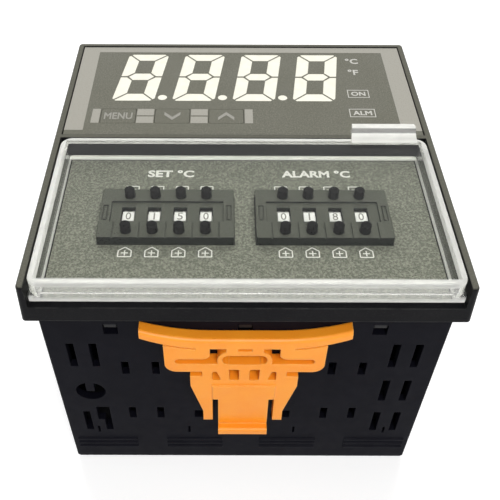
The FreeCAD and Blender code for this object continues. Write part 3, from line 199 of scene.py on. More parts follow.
class ShaderGraph(NodeGraph):
    """Node tree of one material, with helpers for what the finishes share."""

    def __init__(self, name: str) -> None:
        """Starts a material with one main shader."""
        self.material = bpy.data.materials.new(name)
        self.material.use_nodes = True
        super().__init__(self.material.node_tree)
        self.surface = self.tree.nodes["Principled BSDF"]
        self.output = self.tree.nodes["Material Output"]
        self.place = self.add("ShaderNodeTexCoord").outputs["Object"]

    def noise(self, grain: float, detail: float = 2.0, stretch: Point = (1.0, 1.0)) -> NodeSocket:
        """Adds a noise whose lumps have a real size.

        Args:
            grain: Size of one lump.
            detail: Octaves of finer noise.
            stretch: Scale along X and along Y.

        Returns:
            The noise value.
        """
        place = self.add("ShaderNodeMapping", {"Vector": self.place, "Scale": (*stretch, 1.0)})
        inputs = {"Vector": place.outputs["Vector"], "Scale": 1.0 / grain, "Detail": detail}
        return self.add("ShaderNodeTexNoise", inputs).outputs["Fac"]

    def uneven(self, level: float, spread: float, noise: NodeSocket) -> NodeSocket:
        """Varies a level by a noise.

        Args:
            level: Middle level.
            spread: How far it goes to either side.
            noise: The noise to follow.

        Returns:
            The varied level.
        """
        return self.remap(noise, NOISE_SPAN, (level - spread, level + spread))

    def mix(self, share: NodeSocket, first: object, second: object) -> NodeSocket:
        """Mixes two colours.

        Args:
            share: Share of the second colour.
            first: Colour or socket at a share of zero.
            second: Colour or socket at a share of one.

        Returns:
            The mixed colour.
        """
        node = self.add("ShaderNodeMix", data_type="RGBA")
        ends = (node.inputs[0], node.inputs[6], node.inputs[7])
        for socket, value in zip(ends, (share, first, second)):
            if isinstance(value, NodeSocket):
                self.tree.links.new(value, socket)
            else:
                socket.default_value = (*value, 1.0)
        return node.outputs[2]

    def soft_edges(self, radius: float) -> tuple[NodeSocket, NodeSocket]:
        """Rounds the shading of sharp edges.

        Args:
            radius: Radius of the rounding.

        Returns:
            The rounded normal, and a mask that is one on the edges.
        """
        rounded = self.add("ShaderNodeBevel", {"Radius": radius}, samples=4).outputs["Normal"]
        flat = self.add("ShaderNodeNewGeometry").outputs["Normal"]
        dot = self.add("ShaderNodeVectorMath", operation="DOT_PRODUCT")
        self.tree.links.new(rounded, dot.inputs[0])
        self.tree.links.new(flat, dot.inputs[1])
        return rounded, self.remap(dot.outputs["Value"], (0.98, 0.80), FULL)

    def dust_and_sheen_mask(self, height: float) -> NodeSocket:
        """Adds a mask of the faces that look out of the front, with a fine mottle, for dust and
        painted sheen.

        Args:
            height: Lowest place of such faces along Z.

        Returns:
            Near one on those faces and zero elsewhere.
        """
        normal = self.add("ShaderNodeNewGeometry").outputs["Normal"]
        outward = self.add("ShaderNodeSeparateXYZ", {"Vector": normal}).outputs["Z"]
        rise = self.add("ShaderNodeSeparateXYZ", {"Vector": self.place}).outputs["Z"]
        facing = self.calc("MULTIPLY", self.remap(outward, (0.55, 0.95), FULL),
                           self.calc("GREATER_THAN", rise, height))
        mottle = self.remap(self.noise(0.4 * MM, 3.0), NOISE_SPAN, (0.7, 1.0))
        return self.calc("MULTIPLY", facing, mottle)

    def relief(self, height: NodeSocket, depth: float, normal: NodeSocket | None = None) -> None:
        """Gives the main shader a bump.

        Args:
            height: Height of the bump from zero to one.
            depth: Real depth of the bump.
            normal: Normal that the bump starts from.
        """
        inputs: dict[str, object] = {"Height": height, "Distance": depth, "Strength": 1.0}
        if normal is not None:
            inputs["Normal"] = normal
        bump = self.add("ShaderNodeBump", inputs)
        self.feed(self.surface, {"Normal": bump.outputs["Normal"]})


class Finish(Protocol):
    """Anything that can make a material."""

    @property
    def name(self) -> str:
        """Name of the material."""

    def build(self) -> Material:
        """Makes the material."""


@dataclass(frozen=True)
class MouldedPlastic:
    """Moulded plastic with grain, drift, wear and painted highlight on edges, dust and painted
    sheen in front.
    """

    name: str
    colour: Colour
    drift: Colour
    # edge: colour of the specks, and of edges lightened by wear and painted highlight
    edge: Colour
    roughness: float
    shine: float = 0.5
    # front: colour of the front faces, dust and painted sheen
    front: Colour | None = None
    front_from: float = 0.0
    grain: float = 0.30 * MM
    depth: float = 0.004 * MM
    patch: float = 9.0 * MM
    edge_radius: float = 0.25 * MM
    speck_range: Point = (0.52, 0.72)
    speck_share: float = 0.15
    wear_highlight_range: Point = (0.35, 0.6)
    wear_highlight_least: float = 0.25
    rough_spread: float = 0.05

    def build(self) -> Material:
        """Makes the material."""
        graph = ShaderGraph(self.name)
        patches = graph.remap(graph.noise(self.patch, 4.0), NOISE_CORE, FULL)
        rounded, edges = graph.soft_edges(self.edge_radius)
        grain = graph.noise(self.grain, 3.0)
        specks = graph.remap(grain, self.speck_range, (0.0, self.speck_share))
        wear_and_highlight = graph.remap(graph.noise(self.patch / 4, 3.0), self.wear_highlight_range, (self.wear_highlight_least, 1.0))
        colour = graph.mix(patches, self.colour, self.drift)
        colour = graph.mix(specks, colour, self.edge)
        # front faces lighter: dust and painted sheen
        if self.front is not None:
            colour = graph.mix(graph.dust_and_sheen_mask(self.front_from), colour, self.front)
        # edges lighter: wear and painted highlight
        colour = graph.mix(graph.calc("MULTIPLY", edges, wear_and_highlight), colour, self.edge)
        rough = graph.uneven(self.roughness, self.rough_spread, graph.noise(self.patch / 3, 3.0))
        graph.feed(graph.surface, {"Base Color": colour, "Roughness": rough,
                                   "Specular IOR Level": self.shine})
        graph.relief(grain, self.depth, rounded)
        return graph.material


@dataclass(frozen=True)
class PrintedFilm:
    """Matte film with a speckled fine grain."""

    name: str
    colour: Colour
    speck: Colour
    roughness: float = 0.5
    grain: float = 0.34 * MM
    depth: float = 0.002 * MM
    shine: float = 0.4
    speck_range: Point = (0.42, 0.66)
    cloud: float = 11.0 * MM
    rough_spread: float = 0.06

    def build(self) -> Material:
        """Makes the material."""
        graph = ShaderGraph(self.name)
        grain = graph.noise(self.grain, 3.0)
        specks = graph.remap(grain, self.speck_range, FULL)
        rough = graph.uneven(self.roughness, self.rough_spread, graph.noise(self.cloud, 3.0))
        colour = graph.mix(specks, self.colour, self.speck)
        graph.feed(graph.surface, {"Base Color": colour, "Roughness": rough,
                                   "Specular IOR Level": self.shine})
        graph.relief(grain, self.depth)
        return graph.material


@dataclass(frozen=True)
class Ink:
    """Screen-printed ink with slightly uneven cover."""

    name: str
    colour: Colour
    thin: Colour
    roughness: float = 0.45
    shine: float = 0.35
    grain: float = 0.35 * MM
    depth: float = 0.003 * MM
    thin_range: Point = (0.52, 0.78)
    rough_spread: float = 0.08

    def build(self) -> Material:
        """Makes the material."""
        graph = ShaderGraph(self.name)
        cover = graph.noise(self.grain, 3.0)
        colour = graph.mix(graph.remap(cover, self.thin_range, FULL), self.colour, self.thin)
        rough = graph.uneven(self.roughness, self.rough_spread, cover)
        graph.feed(graph.surface, {"Base Color": colour, "Roughness": rough,
                                   "Specular IOR Level": self.shine})
        graph.relief(cover, self.depth)
        return graph.material


@dataclass(frozen=True)
class LightStroke:
    """Cream diffuser of the display with a faint glow."""

    name: str
    colour: Colour
    edge: Colour
    glow: float
    roughness: float = 0.36
    rough_spread: float = 0.06
    cloud: float = 1.6 * MM
    cloud_range: Point = (0.35, 0.75)
    rough_grain: float = 0.4 * MM
    grain: float = 0.25 * MM
    depth: float = 0.002 * MM

    def build(self) -> Material:
        """Makes the material."""
        graph = ShaderGraph(self.name)
        milk = graph.remap(graph.noise(self.cloud, 3.0), self.cloud_range, FULL)
        colour = graph.mix(milk, self.colour, self.edge)
        rough = graph.uneven(self.roughness, self.rough_spread, graph.noise(self.rough_grain))
        graph.feed(graph.surface, {"Base Color": colour, "Roughness": rough,
                                   "Emission Color": self.colour, "Emission Strength": self.glow})
        graph.relief(graph.noise(self.grain), self.depth)
        return graph.material


@dataclass(frozen=True)
class ClearPlastic:
    """Polished clear plastic, which lamps shine through, with fine scratches, rims painted milky
    white as painted highlight and grey painted shade under the tab's crest.

    The rims are those of the cover: its wall tops, its near wall, its foot and its finger tab.
    """

    name: str
    colour: Colour
    # milk: white of the rims, a painted highlight
    milk: Colour
    haze: float
    bend: float
    share: float
    shine: Colour = (0.12, 0.12, 0.12)
    scratch: float = 0.5 * MM
    scratch_stretch: Point = (1.0, 0.06)
    scratch_range: Point = (0.55, 0.75)
    scratch_depth: float = 0.0003 * MM
    scratch_haze: float = 4.0
    edge_radius: float = 0.2 * MM
    # rim, near wall, foot and tab: where the painted highlight of the rims goes and how strongly
    rim: float = 1.8 * MM
    rim_soft: float = 0.8
    rim_depth: float = 1.1 * MM
    rim_share: float = 0.46
    near_share: float = 0.30
    near_skin: float = 0.4 * MM
    near_foot: Point = (0.9 * MM, 2.3 * MM)
    near_inner: Point = (1.7 * MM, 3.0 * MM)
    foot: float = 0.45 * MM
    foot_share: float = 0.7
    pin: float = 1.3 * MM
    tab_reach: float = 2.5 * MM
    tab_rise: float = 2.3 * MM
    tab_foot: float = 0.069 * MM
    tab_share: float = 0.6
    crest: float = 1.75 * MM
    crest_drop: float = 1.0 * MM
    # grey of the painted shade under the tab's crest
    crest_painted_shade: Colour = (0.28, 0.28, 0.275)
    streak: float = 0.6 * MM
    streak_stretch: Point = (0.15, 0.15)
    streak_least: float = 0.88

    def painted_shade_under_crest(self, graph: ShaderGraph) -> NodeSocket:
        """Adds a mask of the steep face under the crest of the finger tab, which is painted grey as
        painted shade.

        Args:
            graph: Material that it belongs to.

        Returns:
            One on that face and zero elsewhere.
        """
        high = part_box(COVER)[1]
        place = graph.add("ShaderNodeSeparateXYZ", {"Vector": graph.place}).outputs
        return graph.calc("MULTIPLY", graph.calc("LESS_THAN", place["Y"], high.y - self.crest),
                          graph.calc("GREATER_THAN", place["Z"], high.z - self.crest_drop))

    def painted_rim_light(self, graph: ShaderGraph) -> NodeSocket:
        """Adds a mask of the rims painted milky white, a painted highlight.

        Args:
            graph: Material that it belongs to.

        Returns:
            High on the rims and zero on the clear middle.
        """
        low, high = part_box(COVER)
        place = graph.add("ShaderNodeSeparateXYZ", {"Vector": graph.place})
        x, y, z = (place.outputs[axis] for axis in "XYZ")
        top = high.z - self.tab_rise
        side = graph.calc("SUBTRACT", high.x - self.pin, graph.calc("ABSOLUTE", x))
        near = graph.calc("SUBTRACT", y, low.y)
        far = graph.calc("SUBTRACT", high.y - self.tab_reach, y)
        inset = graph.calc("MINIMUM", graph.calc("MINIMUM", near, far), side)

        edge = graph.remap(inset, (self.rim_soft * self.rim, self.rim), (self.rim_share, 0.0))
        wall_top = graph.calc("MULTIPLY", edge, graph.calc("GREATER_THAN", z, top - self.rim_depth))

        heights = (low.z + self.near_foot[0], low.z + self.near_foot[1])
        near_wall = graph.calc("MULTIPLY", graph.calc("LESS_THAN", near, self.near_skin),
                               graph.remap(z, heights, (1.0, self.near_share)))

        inner = graph.calc("MULTIPLY", graph.calc("GREATER_THAN", near, self.near_inner[0]),
                           graph.calc("LESS_THAN", near, self.near_inner[1]))
        at_foot = graph.calc("LESS_THAN", z, low.z + self.foot)
        foot = graph.calc("MULTIPLY", graph.calc("GREATER_THAN", at_foot, inner), self.foot_share)

        tab = graph.calc("MULTIPLY", graph.calc("GREATER_THAN", z, top + self.tab_foot),
                         self.tab_share)
        rims = graph.calc("MAXIMUM", graph.calc("MAXIMUM", wall_top, near_wall),
                          graph.calc("MAXIMUM", foot, tab))
        streaks = graph.remap(graph.noise(self.streak, 3.0, self.streak_stretch), NOISE_CORE,
                              (self.streak_least, 1.0))
        return graph.calc("MULTIPLY", rims, streaks)

    def build(self) -> Material:
        """Makes the material."""
        graph = ShaderGraph(self.name)
        scratches = graph.noise(self.scratch, 4.0, self.scratch_stretch)
        rough = graph.remap(scratches, self.scratch_range,
                            (self.haze, self.scratch_haze * self.haze))
        rounded, _ = graph.soft_edges(self.edge_radius)
        # painted highlight: the rims are painted milky white and made less clear
        painted_rim_light = self.painted_rim_light(graph)
        clear = graph.remap(painted_rim_light, FULL, (1.0, 1.0 - self.share))
        colour = graph.mix(painted_rim_light, self.colour, self.milk)
        # painted shade: grey on the steep face under the tab's crest
        colour = graph.mix(self.painted_shade_under_crest(graph), colour, self.crest_painted_shade)
        graph.feed(graph.surface, {"Base Color": colour, "Roughness": rough,
                                   "Transmission Weight": clear, "IOR": self.bend,
                                   "Specular Tint": self.shine})
        graph.relief(scratches, self.scratch_depth, rounded)
        passing = graph.add("ShaderNodeBsdfTransparent", {"Color": self.colour})
        lamps = graph.add("ShaderNodeLightPath").outputs["Is Shadow Ray"]
        both = graph.add("ShaderNodeMixShader")
        graph.tree.links.new(lamps, both.inputs[0])
        graph.tree.links.new(graph.surface.outputs[0], both.inputs[1])
        graph.tree.links.new(passing.outputs[0], both.inputs[2])
        graph.tree.links.new(both.outputs[0], graph.output.inputs["Surface"])
        return graph.material


@dataclass(frozen=True)
class WorkedMetal:
    """Metal with fine drawn lines and a slightly uneven tone."""

    name: str
    colour: Colour
    dull: Colour
    roughness: float
    line: float = 0.15 * MM
    line_stretch: Point = (0.08, 1.0)
    line_depth: float = 0.003 * MM
    stain: float = 2.5 * MM
    stain_range: Point = (0.4, 0.7)
    edge_radius: float = 0.15 * MM
    rough_spread: float = 0.08

    def build(self) -> Material:
        """Makes the material."""
        graph = ShaderGraph(self.name)
        lines = graph.noise(self.line, 3.0, self.line_stretch)
        stain = graph.remap(graph.noise(self.stain, 4.0), self.stain_range, FULL)
        colour = graph.mix(stain, self.colour, self.dull)
        rough = graph.uneven(self.roughness, self.rough_spread, lines)
        rounded, _ = graph.soft_edges(self.edge_radius)
        graph.feed(graph.surface, {"Base Color": colour, "Roughness": rough, "Metallic": 1.0})
        graph.relief(lines, self.line_depth, rounded)
        return graph.material


@dataclass(frozen=True)
class BoardLaminate:
    """Circuit board with copper runs under its lacquer."""

    name: str
    colour: Colour
    run: Colour
    roughness: float = 0.35
    cell: float = 4.0 * MM
    scatter: float = 0.8
    run_range: Point = (0.06, 0.10)
    run_depth: float = 0.03 * MM

    def build(self) -> Material:
        """Makes the material."""
        graph = ShaderGraph(self.name)
        inputs = {"Vector": graph.place, "Scale": 1.0 / self.cell, "Randomness": self.scatter}
        cells = graph.add("ShaderNodeTexVoronoi", inputs, feature="DISTANCE_TO_EDGE")
        runs = graph.remap(cells.outputs["Distance"], self.run_range, (1.0, 0.0))
        colour = graph.mix(runs, self.colour, self.run)
        graph.feed(graph.surface, {"Base Color": colour, "Roughness": self.roughness})
        graph.relief(runs, self.run_depth)
        return graph.material


FINISHES: dict[Slot, Finish] = {
    Slot.CASE: MouldedPlastic(
        "case_black", (0.0030, 0.0030, 0.0054), (0.0042, 0.0042, 0.0072), (0.013, 0.013, 0.017),
        roughness=0.5, shine=0.04),
    # front colour of the bezel: dust and painted sheen on its front faces
    Slot.BEZEL: MouldedPlastic(
        "bezel_black", (0.0042, 0.0042, 0.0052), (0.0056, 0.0056, 0.0066), (0.045, 0.045, 0.042),
        roughness=0.45, shine=0.06, front=(0.130, 0.128, 0.103), front_from=73.0 * MM,
        edge_radius=0.5 * MM),
    Slot.OVERLAY: PrintedFilm("overlay_charcoal", (0.098, 0.097, 0.074), (0.155, 0.152, 0.119)),
    Slot.DISPLAY: MouldedPlastic(
        "display_grey", (0.060, 0.060, 0.055), (0.075, 0.075, 0.070), (0.10, 0.10, 0.09),
        roughness=0.5),
    Slot.SEGMENT: LightStroke("stroke_cream", (0.82, 0.80, 0.69), (0.75, 0.73, 0.62), glow=0.06),
    Slot.BASE: MouldedPlastic(
        "base_black", (0.010, 0.010, 0.011), (0.014, 0.014, 0.015), (0.03, 0.03, 0.03),
        roughness=0.5, shine=0.2),
    Slot.BRASS: WorkedMetal(
        "plated_contact", (0.72, 0.66, 0.50), (0.55, 0.48, 0.34), roughness=0.35),
    Slot.STEEL: WorkedMetal("zinc_steel", (0.62, 0.62, 0.60), (0.48, 0.47, 0.44), roughness=0.32),
    Slot.BOARD: BoardLaminate("board_green", (0.012, 0.090, 0.030), (0.030, 0.150, 0.050)),
    Slot.PART: MouldedPlastic(
        "part_black", (0.012, 0.012, 0.012), (0.018, 0.018, 0.018), (0.04, 0.04, 0.04),
        roughness=0.45),
    Slot.CORE: WorkedMetal(
        "core_lamination", (0.20, 0.20, 0.21), (0.12, 0.10, 0.09), roughness=0.5),
    Slot.COIL: WorkedMetal("coil_copper", (0.62, 0.30, 0.14), (0.42, 0.18, 0.08), roughness=0.35),
    Slot.CAN: MouldedPlastic(
        "can_sleeve", (0.010, 0.016, 0.060), (0.014, 0.022, 0.080), (0.05, 0.06, 0.12),
        roughness=0.3),
    Slot.RELAY: MouldedPlastic(
        "relay_cover", (0.012, 0.020, 0.050), (0.018, 0.028, 0.060), (0.04, 0.05, 0.09),
        roughness=0.4),
    Slot.LAMP: MouldedPlastic(
        "lamp_red", (0.45, 0.020, 0.015), (0.38, 0.015, 0.012), (0.55, 0.05, 0.04),
        roughness=0.25),
    # front colour of the switches: dust and painted sheen on their front faces
    Slot.SWITCH: MouldedPlastic(
        "switch_grey", (0.006, 0.008, 0.006), (0.010, 0.012, 0.010), (0.050, 0.053, 0.046),
        roughness=0.40, shine=0.15, front=(0.090, 0.093, 0.076), front_from=70.0 * MM),
    # the third value is the milky white of the rims, a painted highlight
    Slot.COVER: ClearPlastic(
        "cover_clear", (0.975, 0.983, 0.964), (0.90, 0.885, 0.835),
        haze=0.010, bend=1.45, share=0.9),
    Slot.BRACKET: MouldedPlastic(
        "bracket_orange", (0.95, 0.325, 0.018), (0.93, 0.290, 0.014), (1.0, 0.46, 0.08),
        roughness=0.36, shine=0.4, edge_radius=0.45 * MM),
    Slot.WHEEL: MouldedPlastic(
        "wheel_white", (0.88, 0.87, 0.84), (0.84, 0.83, 0.80), (0.76, 0.75, 0.72),
        roughness=0.45),
    Slot.BUTTON: MouldedPlastic(
        "button_black", (0.002, 0.002, 0.002), (0.004, 0.004, 0.004), (0.015, 0.015, 0.015),
        roughness=0.42, shine=0.05),
}

NODE_FINISHES: dict[str, Finish] = {
    "deck_label": PrintedFilm(
        "deck_charcoal", (0.108, 0.112, 0.088), (0.250, 0.254, 0.206), grain=0.48 * MM),
}


class InkColour(Enum):
    """Inks of the printing."""

    WHITE = Ink("ink_white", (0.80, 0.79, 0.75), (0.62, 0.61, 0.58))
    PALE = Ink("ink_pale", (0.54, 0.53, 0.49), (0.42, 0.41, 0.37))
    GREY = Ink("ink_grey", (0.330, 0.318, 0.276), (0.260, 0.250, 0.217))
    DIM = Ink("ink_dim", (0.29, 0.283, 0.25), (0.22, 0.215, 0.19))
    FAINT = Ink("ink_faint", (0.20, 0.19, 0.17), (0.32, 0.31, 0.28))


class Palette:
    """Materials made once and shared by the pieces."""

    def __init__(self) -> None:
        """Starts with nothing made."""
        self.made: dict[str, Material] = {}

    def of(self, finish: Finish) -> Material:
        """Gives the material of a finish.

        Args:
            finish: The finish to make or find.

        Returns:
            Its material.
        """
        if finish.name not in self.made:
            self.made[finish.name] = finish.build()
        return self.made[finish.name]

    def dress_nodes(self) -> None:
        """Puts its own finish, or that of its record slot, on every node of the frame."""
        for part in frame["record"]["subparts"]:
            name = part["node"]
            finish = NODE_FINISHES.get(name, FINISHES[Slot(part["material_slot"])])
            material = self.of(finish)
            for holder in frame["nodes"][name].material_slots:
                holder.material = material
            LOG.info("node %s: %s", name, material.name)


PALETTE = Palette()


def add_piece(name: str, mesh: Mesh, body: str, ink: InkColour) -> None:
    """Puts a finished mesh into the scene on a body of the frame.

    Args:
        name: Name of the piece.
        mesh: Its mesh, in place.
        body: Body that it rides on.
        ink: Its ink.
    """
    mesh.materials.clear()
    mesh.materials.append(PALETTE.of(ink.value))
    piece = bpy.data.objects.new(name, mesh)
    bpy.context.scene.collection.objects.link(piece)
    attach(piece, body)
    LOG.info("piece %s on %s: %d faces", name, body, len(mesh.polygons))


def prism_mesh(name: str, outline: Outline, low: float, high: float) -> Mesh:
    """Makes a closed upright prism from a flat outline.

    Args:
        name: Name of the mesh.
        outline: Corner points, counter-clockwise.
        low: Height of the underside.
        high: Height of the top.

    Returns:
        The mesh of the prism.
    """
    form = bmesh.new()
    rings = [[form.verts.new((x, y, z)) for x, y in outline] for z in (low, high)]
    form.faces.new(list(reversed(rings[0])))
    form.faces.new(rings[1])
    count = len(outline)
    for index in range(count):
        after = (index + 1) % count
        form.faces.new((rings[0][index], rings[0][after], rings[1][after], rings[1][index]))
    mesh = bpy.data.meshes.new(name)
    form.to_mesh(mesh)
    form.free()
    return mesh


def rectangle(x: Point, y: Point) -> Outline:
    """Corner points of a rectangle between two values on each axis."""
    return [(x[0], y[0]), (x[1], y[0]), (x[1], y[1]), (x[0], y[1])]


def frame_bars(x: Point, y: Point, line: float) -> list[Outline]:
    """Four bars of a rectangular outline.

    Args:
        x: Outer span along X.
        y: Outer span along Y.
        line: Width of the bars.

    Returns:
        Outlines of the bars.
    """
    inner = (y[0] + line, y[1] - line)
    return [rectangle(x, (y[0], inner[0])), rectangle(x, (inner[1], y[1])),
            rectangle((x[0], x[0] + line), inner), rectangle((x[1] - line, x[1]), inner)]


def stroke(start: Point, end: Point, line: float) -> Outline:
    """Outline of a straight stroke.

    Args:
        start: One end of its middle line.
        end: The other end.
        line: Width of the stroke.

    Returns:
        Its corner points.
    """
    along = Vector((end[0] - start[0], end[1] - start[1])).normalized() * (line / 2)
    across = Vector((-along.y, along.x))
    return [(start[0] - across.x, start[1] - across.y), (end[0] - across.x, end[1] - across.y),
            (end[0] + across.x, end[1] + across.y), (start[0] + across.x, start[1] + across.y)]


def joined(name: str, meshes: list[Mesh]) -> Mesh:
    """Joins meshes into one.

    Args:
        name: Name of the new mesh.
        meshes: Meshes to join, which are removed.

    Returns:
        The joined mesh.
    """
    form = bmesh.new()
    for mesh in meshes:
        form.from_mesh(mesh)
        bpy.data.meshes.remove(mesh)
    whole = bpy.data.meshes.new(name)
    form.to_mesh(whole)
    form.free()
    return whole


def cleaned(mesh: Mesh, weld: float) -> Mesh:
    """Welds shared corners and merges flat neighbouring faces.

    Args:
        mesh: The mesh to clean.
        weld: Distance under which corners are one.

    Returns:
        The same mesh.
    """
    form = bmesh.new()
    form.from_mesh(mesh)
    bmesh.ops.remove_doubles(form, verts=form.verts, dist=weld)
    bmesh.ops.dissolve_limit(form, angle_limit=FLAT_ANGLE, verts=form.verts, edges=form.edges)
    form.to_mesh(mesh)
    form.free()
    return mesh


def fused(name: str, meshes: list[Mesh]) -> Mesh:
    """Fuses overlapping closed meshes into one skin.

    Args:
        name: Name of the new mesh.
        meshes: Two or more meshes to fuse, which are removed.

    Returns:
        The fused mesh.
    """
    pair = (meshes[0], joined(name + "_rest", meshes[1:]))
    holders = [bpy.data.objects.new(mesh.name, mesh) for mesh in pair]
    for holder in holders:
        bpy.context.scene.collection.objects.link(holder)
    union = holders[0].modifiers.new("union", "BOOLEAN")
    union.operation = "UNION"
    union.solver = "EXACT"
    union.use_self = True
    union.object = holders[1]
    shown = holders[0].evaluated_get(bpy.context.evaluated_depsgraph_get())
    whole = bpy.data.meshes.new_from_object(shown)
    for holder, mesh in zip(holders, pair):
        bpy.data.objects.remove(holder)
        bpy.data.meshes.remove(mesh)
    whole.name = name
    return cleaned(whole, FUSED_WELD)


def word_mesh(text: str, height: float, depth: float, width: float | None = None,
              weight: float = 0.0) -> Mesh:
    """Makes flat lettering about the origin, facing +Z.

    Args:
        text: The word or number.
        height: Height of the lettering.
        depth: Thickness of the ink or relief.
        width: Width of the lettering, or its natural width.
        weight: Chamfer that makes the strokes bolder, as a share of the type size.

    Returns:
        The mesh of the lettering.
    """
    curve = bpy.data.curves.new("word", "FONT")
    curve.body = text
    curve.resolution_u = TYPE_STEPS
    curve.extrude = TYPE_DEPTH
    curve.bevel_depth = weight
    curve.bevel_resolution = 0
    holder = bpy.data.objects.new("word", curve)
    mesh = bpy.data.meshes.new_from_object(holder)
    bpy.data.objects.remove(holder)
    bpy.data.curves.remove(curve)
    low = Vector(min(vertex.co[axis] for vertex in mesh.vertices) for axis in range(3))
    high = Vector(max(vertex.co[axis] for vertex in mesh.vertices) for axis in range(3))
    cleaned(mesh, TYPE_WELD)
    span = high - low
    across = height / span.y if width is None else width / span.x
    sizing = Matrix.Diagonal((across, height / span.y, depth / span.z, 1.0))
    mesh.transform(sizing @ Matrix.Translation(-(low + high) / 2))
    return mesh


class RowTree:
    """Geometry Nodes tree that repeats a shape along a line."""

    def __init__(self, name: str) -> None:
        """Builds the tree with its named inputs."""
        self.tree = bpy.data.node_groups.new(name, "GeometryNodeTree")
        self.socket("Shape", "NodeSocketGeometry")
        self.count = self.socket("Count", "NodeSocketInt")
        self.step = self.socket("Step", "NodeSocketVector")
        self.finish = self.socket("Finish", "NodeSocketMaterial")
        self.socket("Row", "NodeSocketGeometry", "OUTPUT")
        given = self.tree.nodes.new("NodeGroupInput")
        line = self.tree.nodes.new("GeometryNodeMeshLine")
        copies = self.tree.nodes.new("GeometryNodeInstanceOnPoints")
        real = self.tree.nodes.new("GeometryNodeRealizeInstances")
        coat = self.tree.nodes.new("GeometryNodeSetMaterial")
        done = self.tree.nodes.new("NodeGroupOutput")
        for source, target in ((given.outputs["Count"], line.inputs["Count"]),
                               (given.outputs["Step"], line.inputs["Offset"]),
                               (line.outputs["Mesh"], copies.inputs["Points"]),
                               (given.outputs["Shape"], copies.inputs["Instance"]),
                               (copies.outputs["Instances"], real.inputs["Geometry"]),
                               (real.outputs["Geometry"], coat.inputs["Geometry"]),
                               (given.outputs["Finish"], coat.inputs["Material"]),
                               (coat.outputs["Geometry"], done.inputs["Row"])):
            self.tree.links.new(source, target)

    def socket(self, name: str, kind: str,
               way: str = "INPUT") -> bpy.types.NodeTreeInterfaceSocket:
        """Adds a named input or output to the tree."""
        return self.tree.interface.new_socket(name, in_out=way, socket_type=kind)

    def row(self, name: str, shape: Mesh, count: int, step: Vector, material: Material) -> Mesh:
        """Repeats a shape.

        Args:
            name: Name of the mesh of the row.
            shape: First shape of the row, in place, which is removed.
            count: How many shapes the row has.
            step: Way from one shape to the next.
            material: Material of the row.

        Returns:
            Plain mesh of the whole row.
        """
        holder = bpy.data.objects.new(name, shape)
        bpy.context.scene.collection.objects.link(holder)
        modifier = holder.modifiers.new("row", "NODES")
        modifier.node_group = self.tree
        modifier[self.count.identifier] = count
        modifier[self.step.identifier] = step
        modifier[self.finish.identifier] = material
        shown = holder.evaluated_get(bpy.context.evaluated_depsgraph_get())
        mesh = bpy.data.meshes.new_from_object(shown)
        holder.modifiers.clear()
        bpy.data.objects.remove(holder)
        bpy.data.meshes.remove(shape)
        mesh.name = name
        return mesh


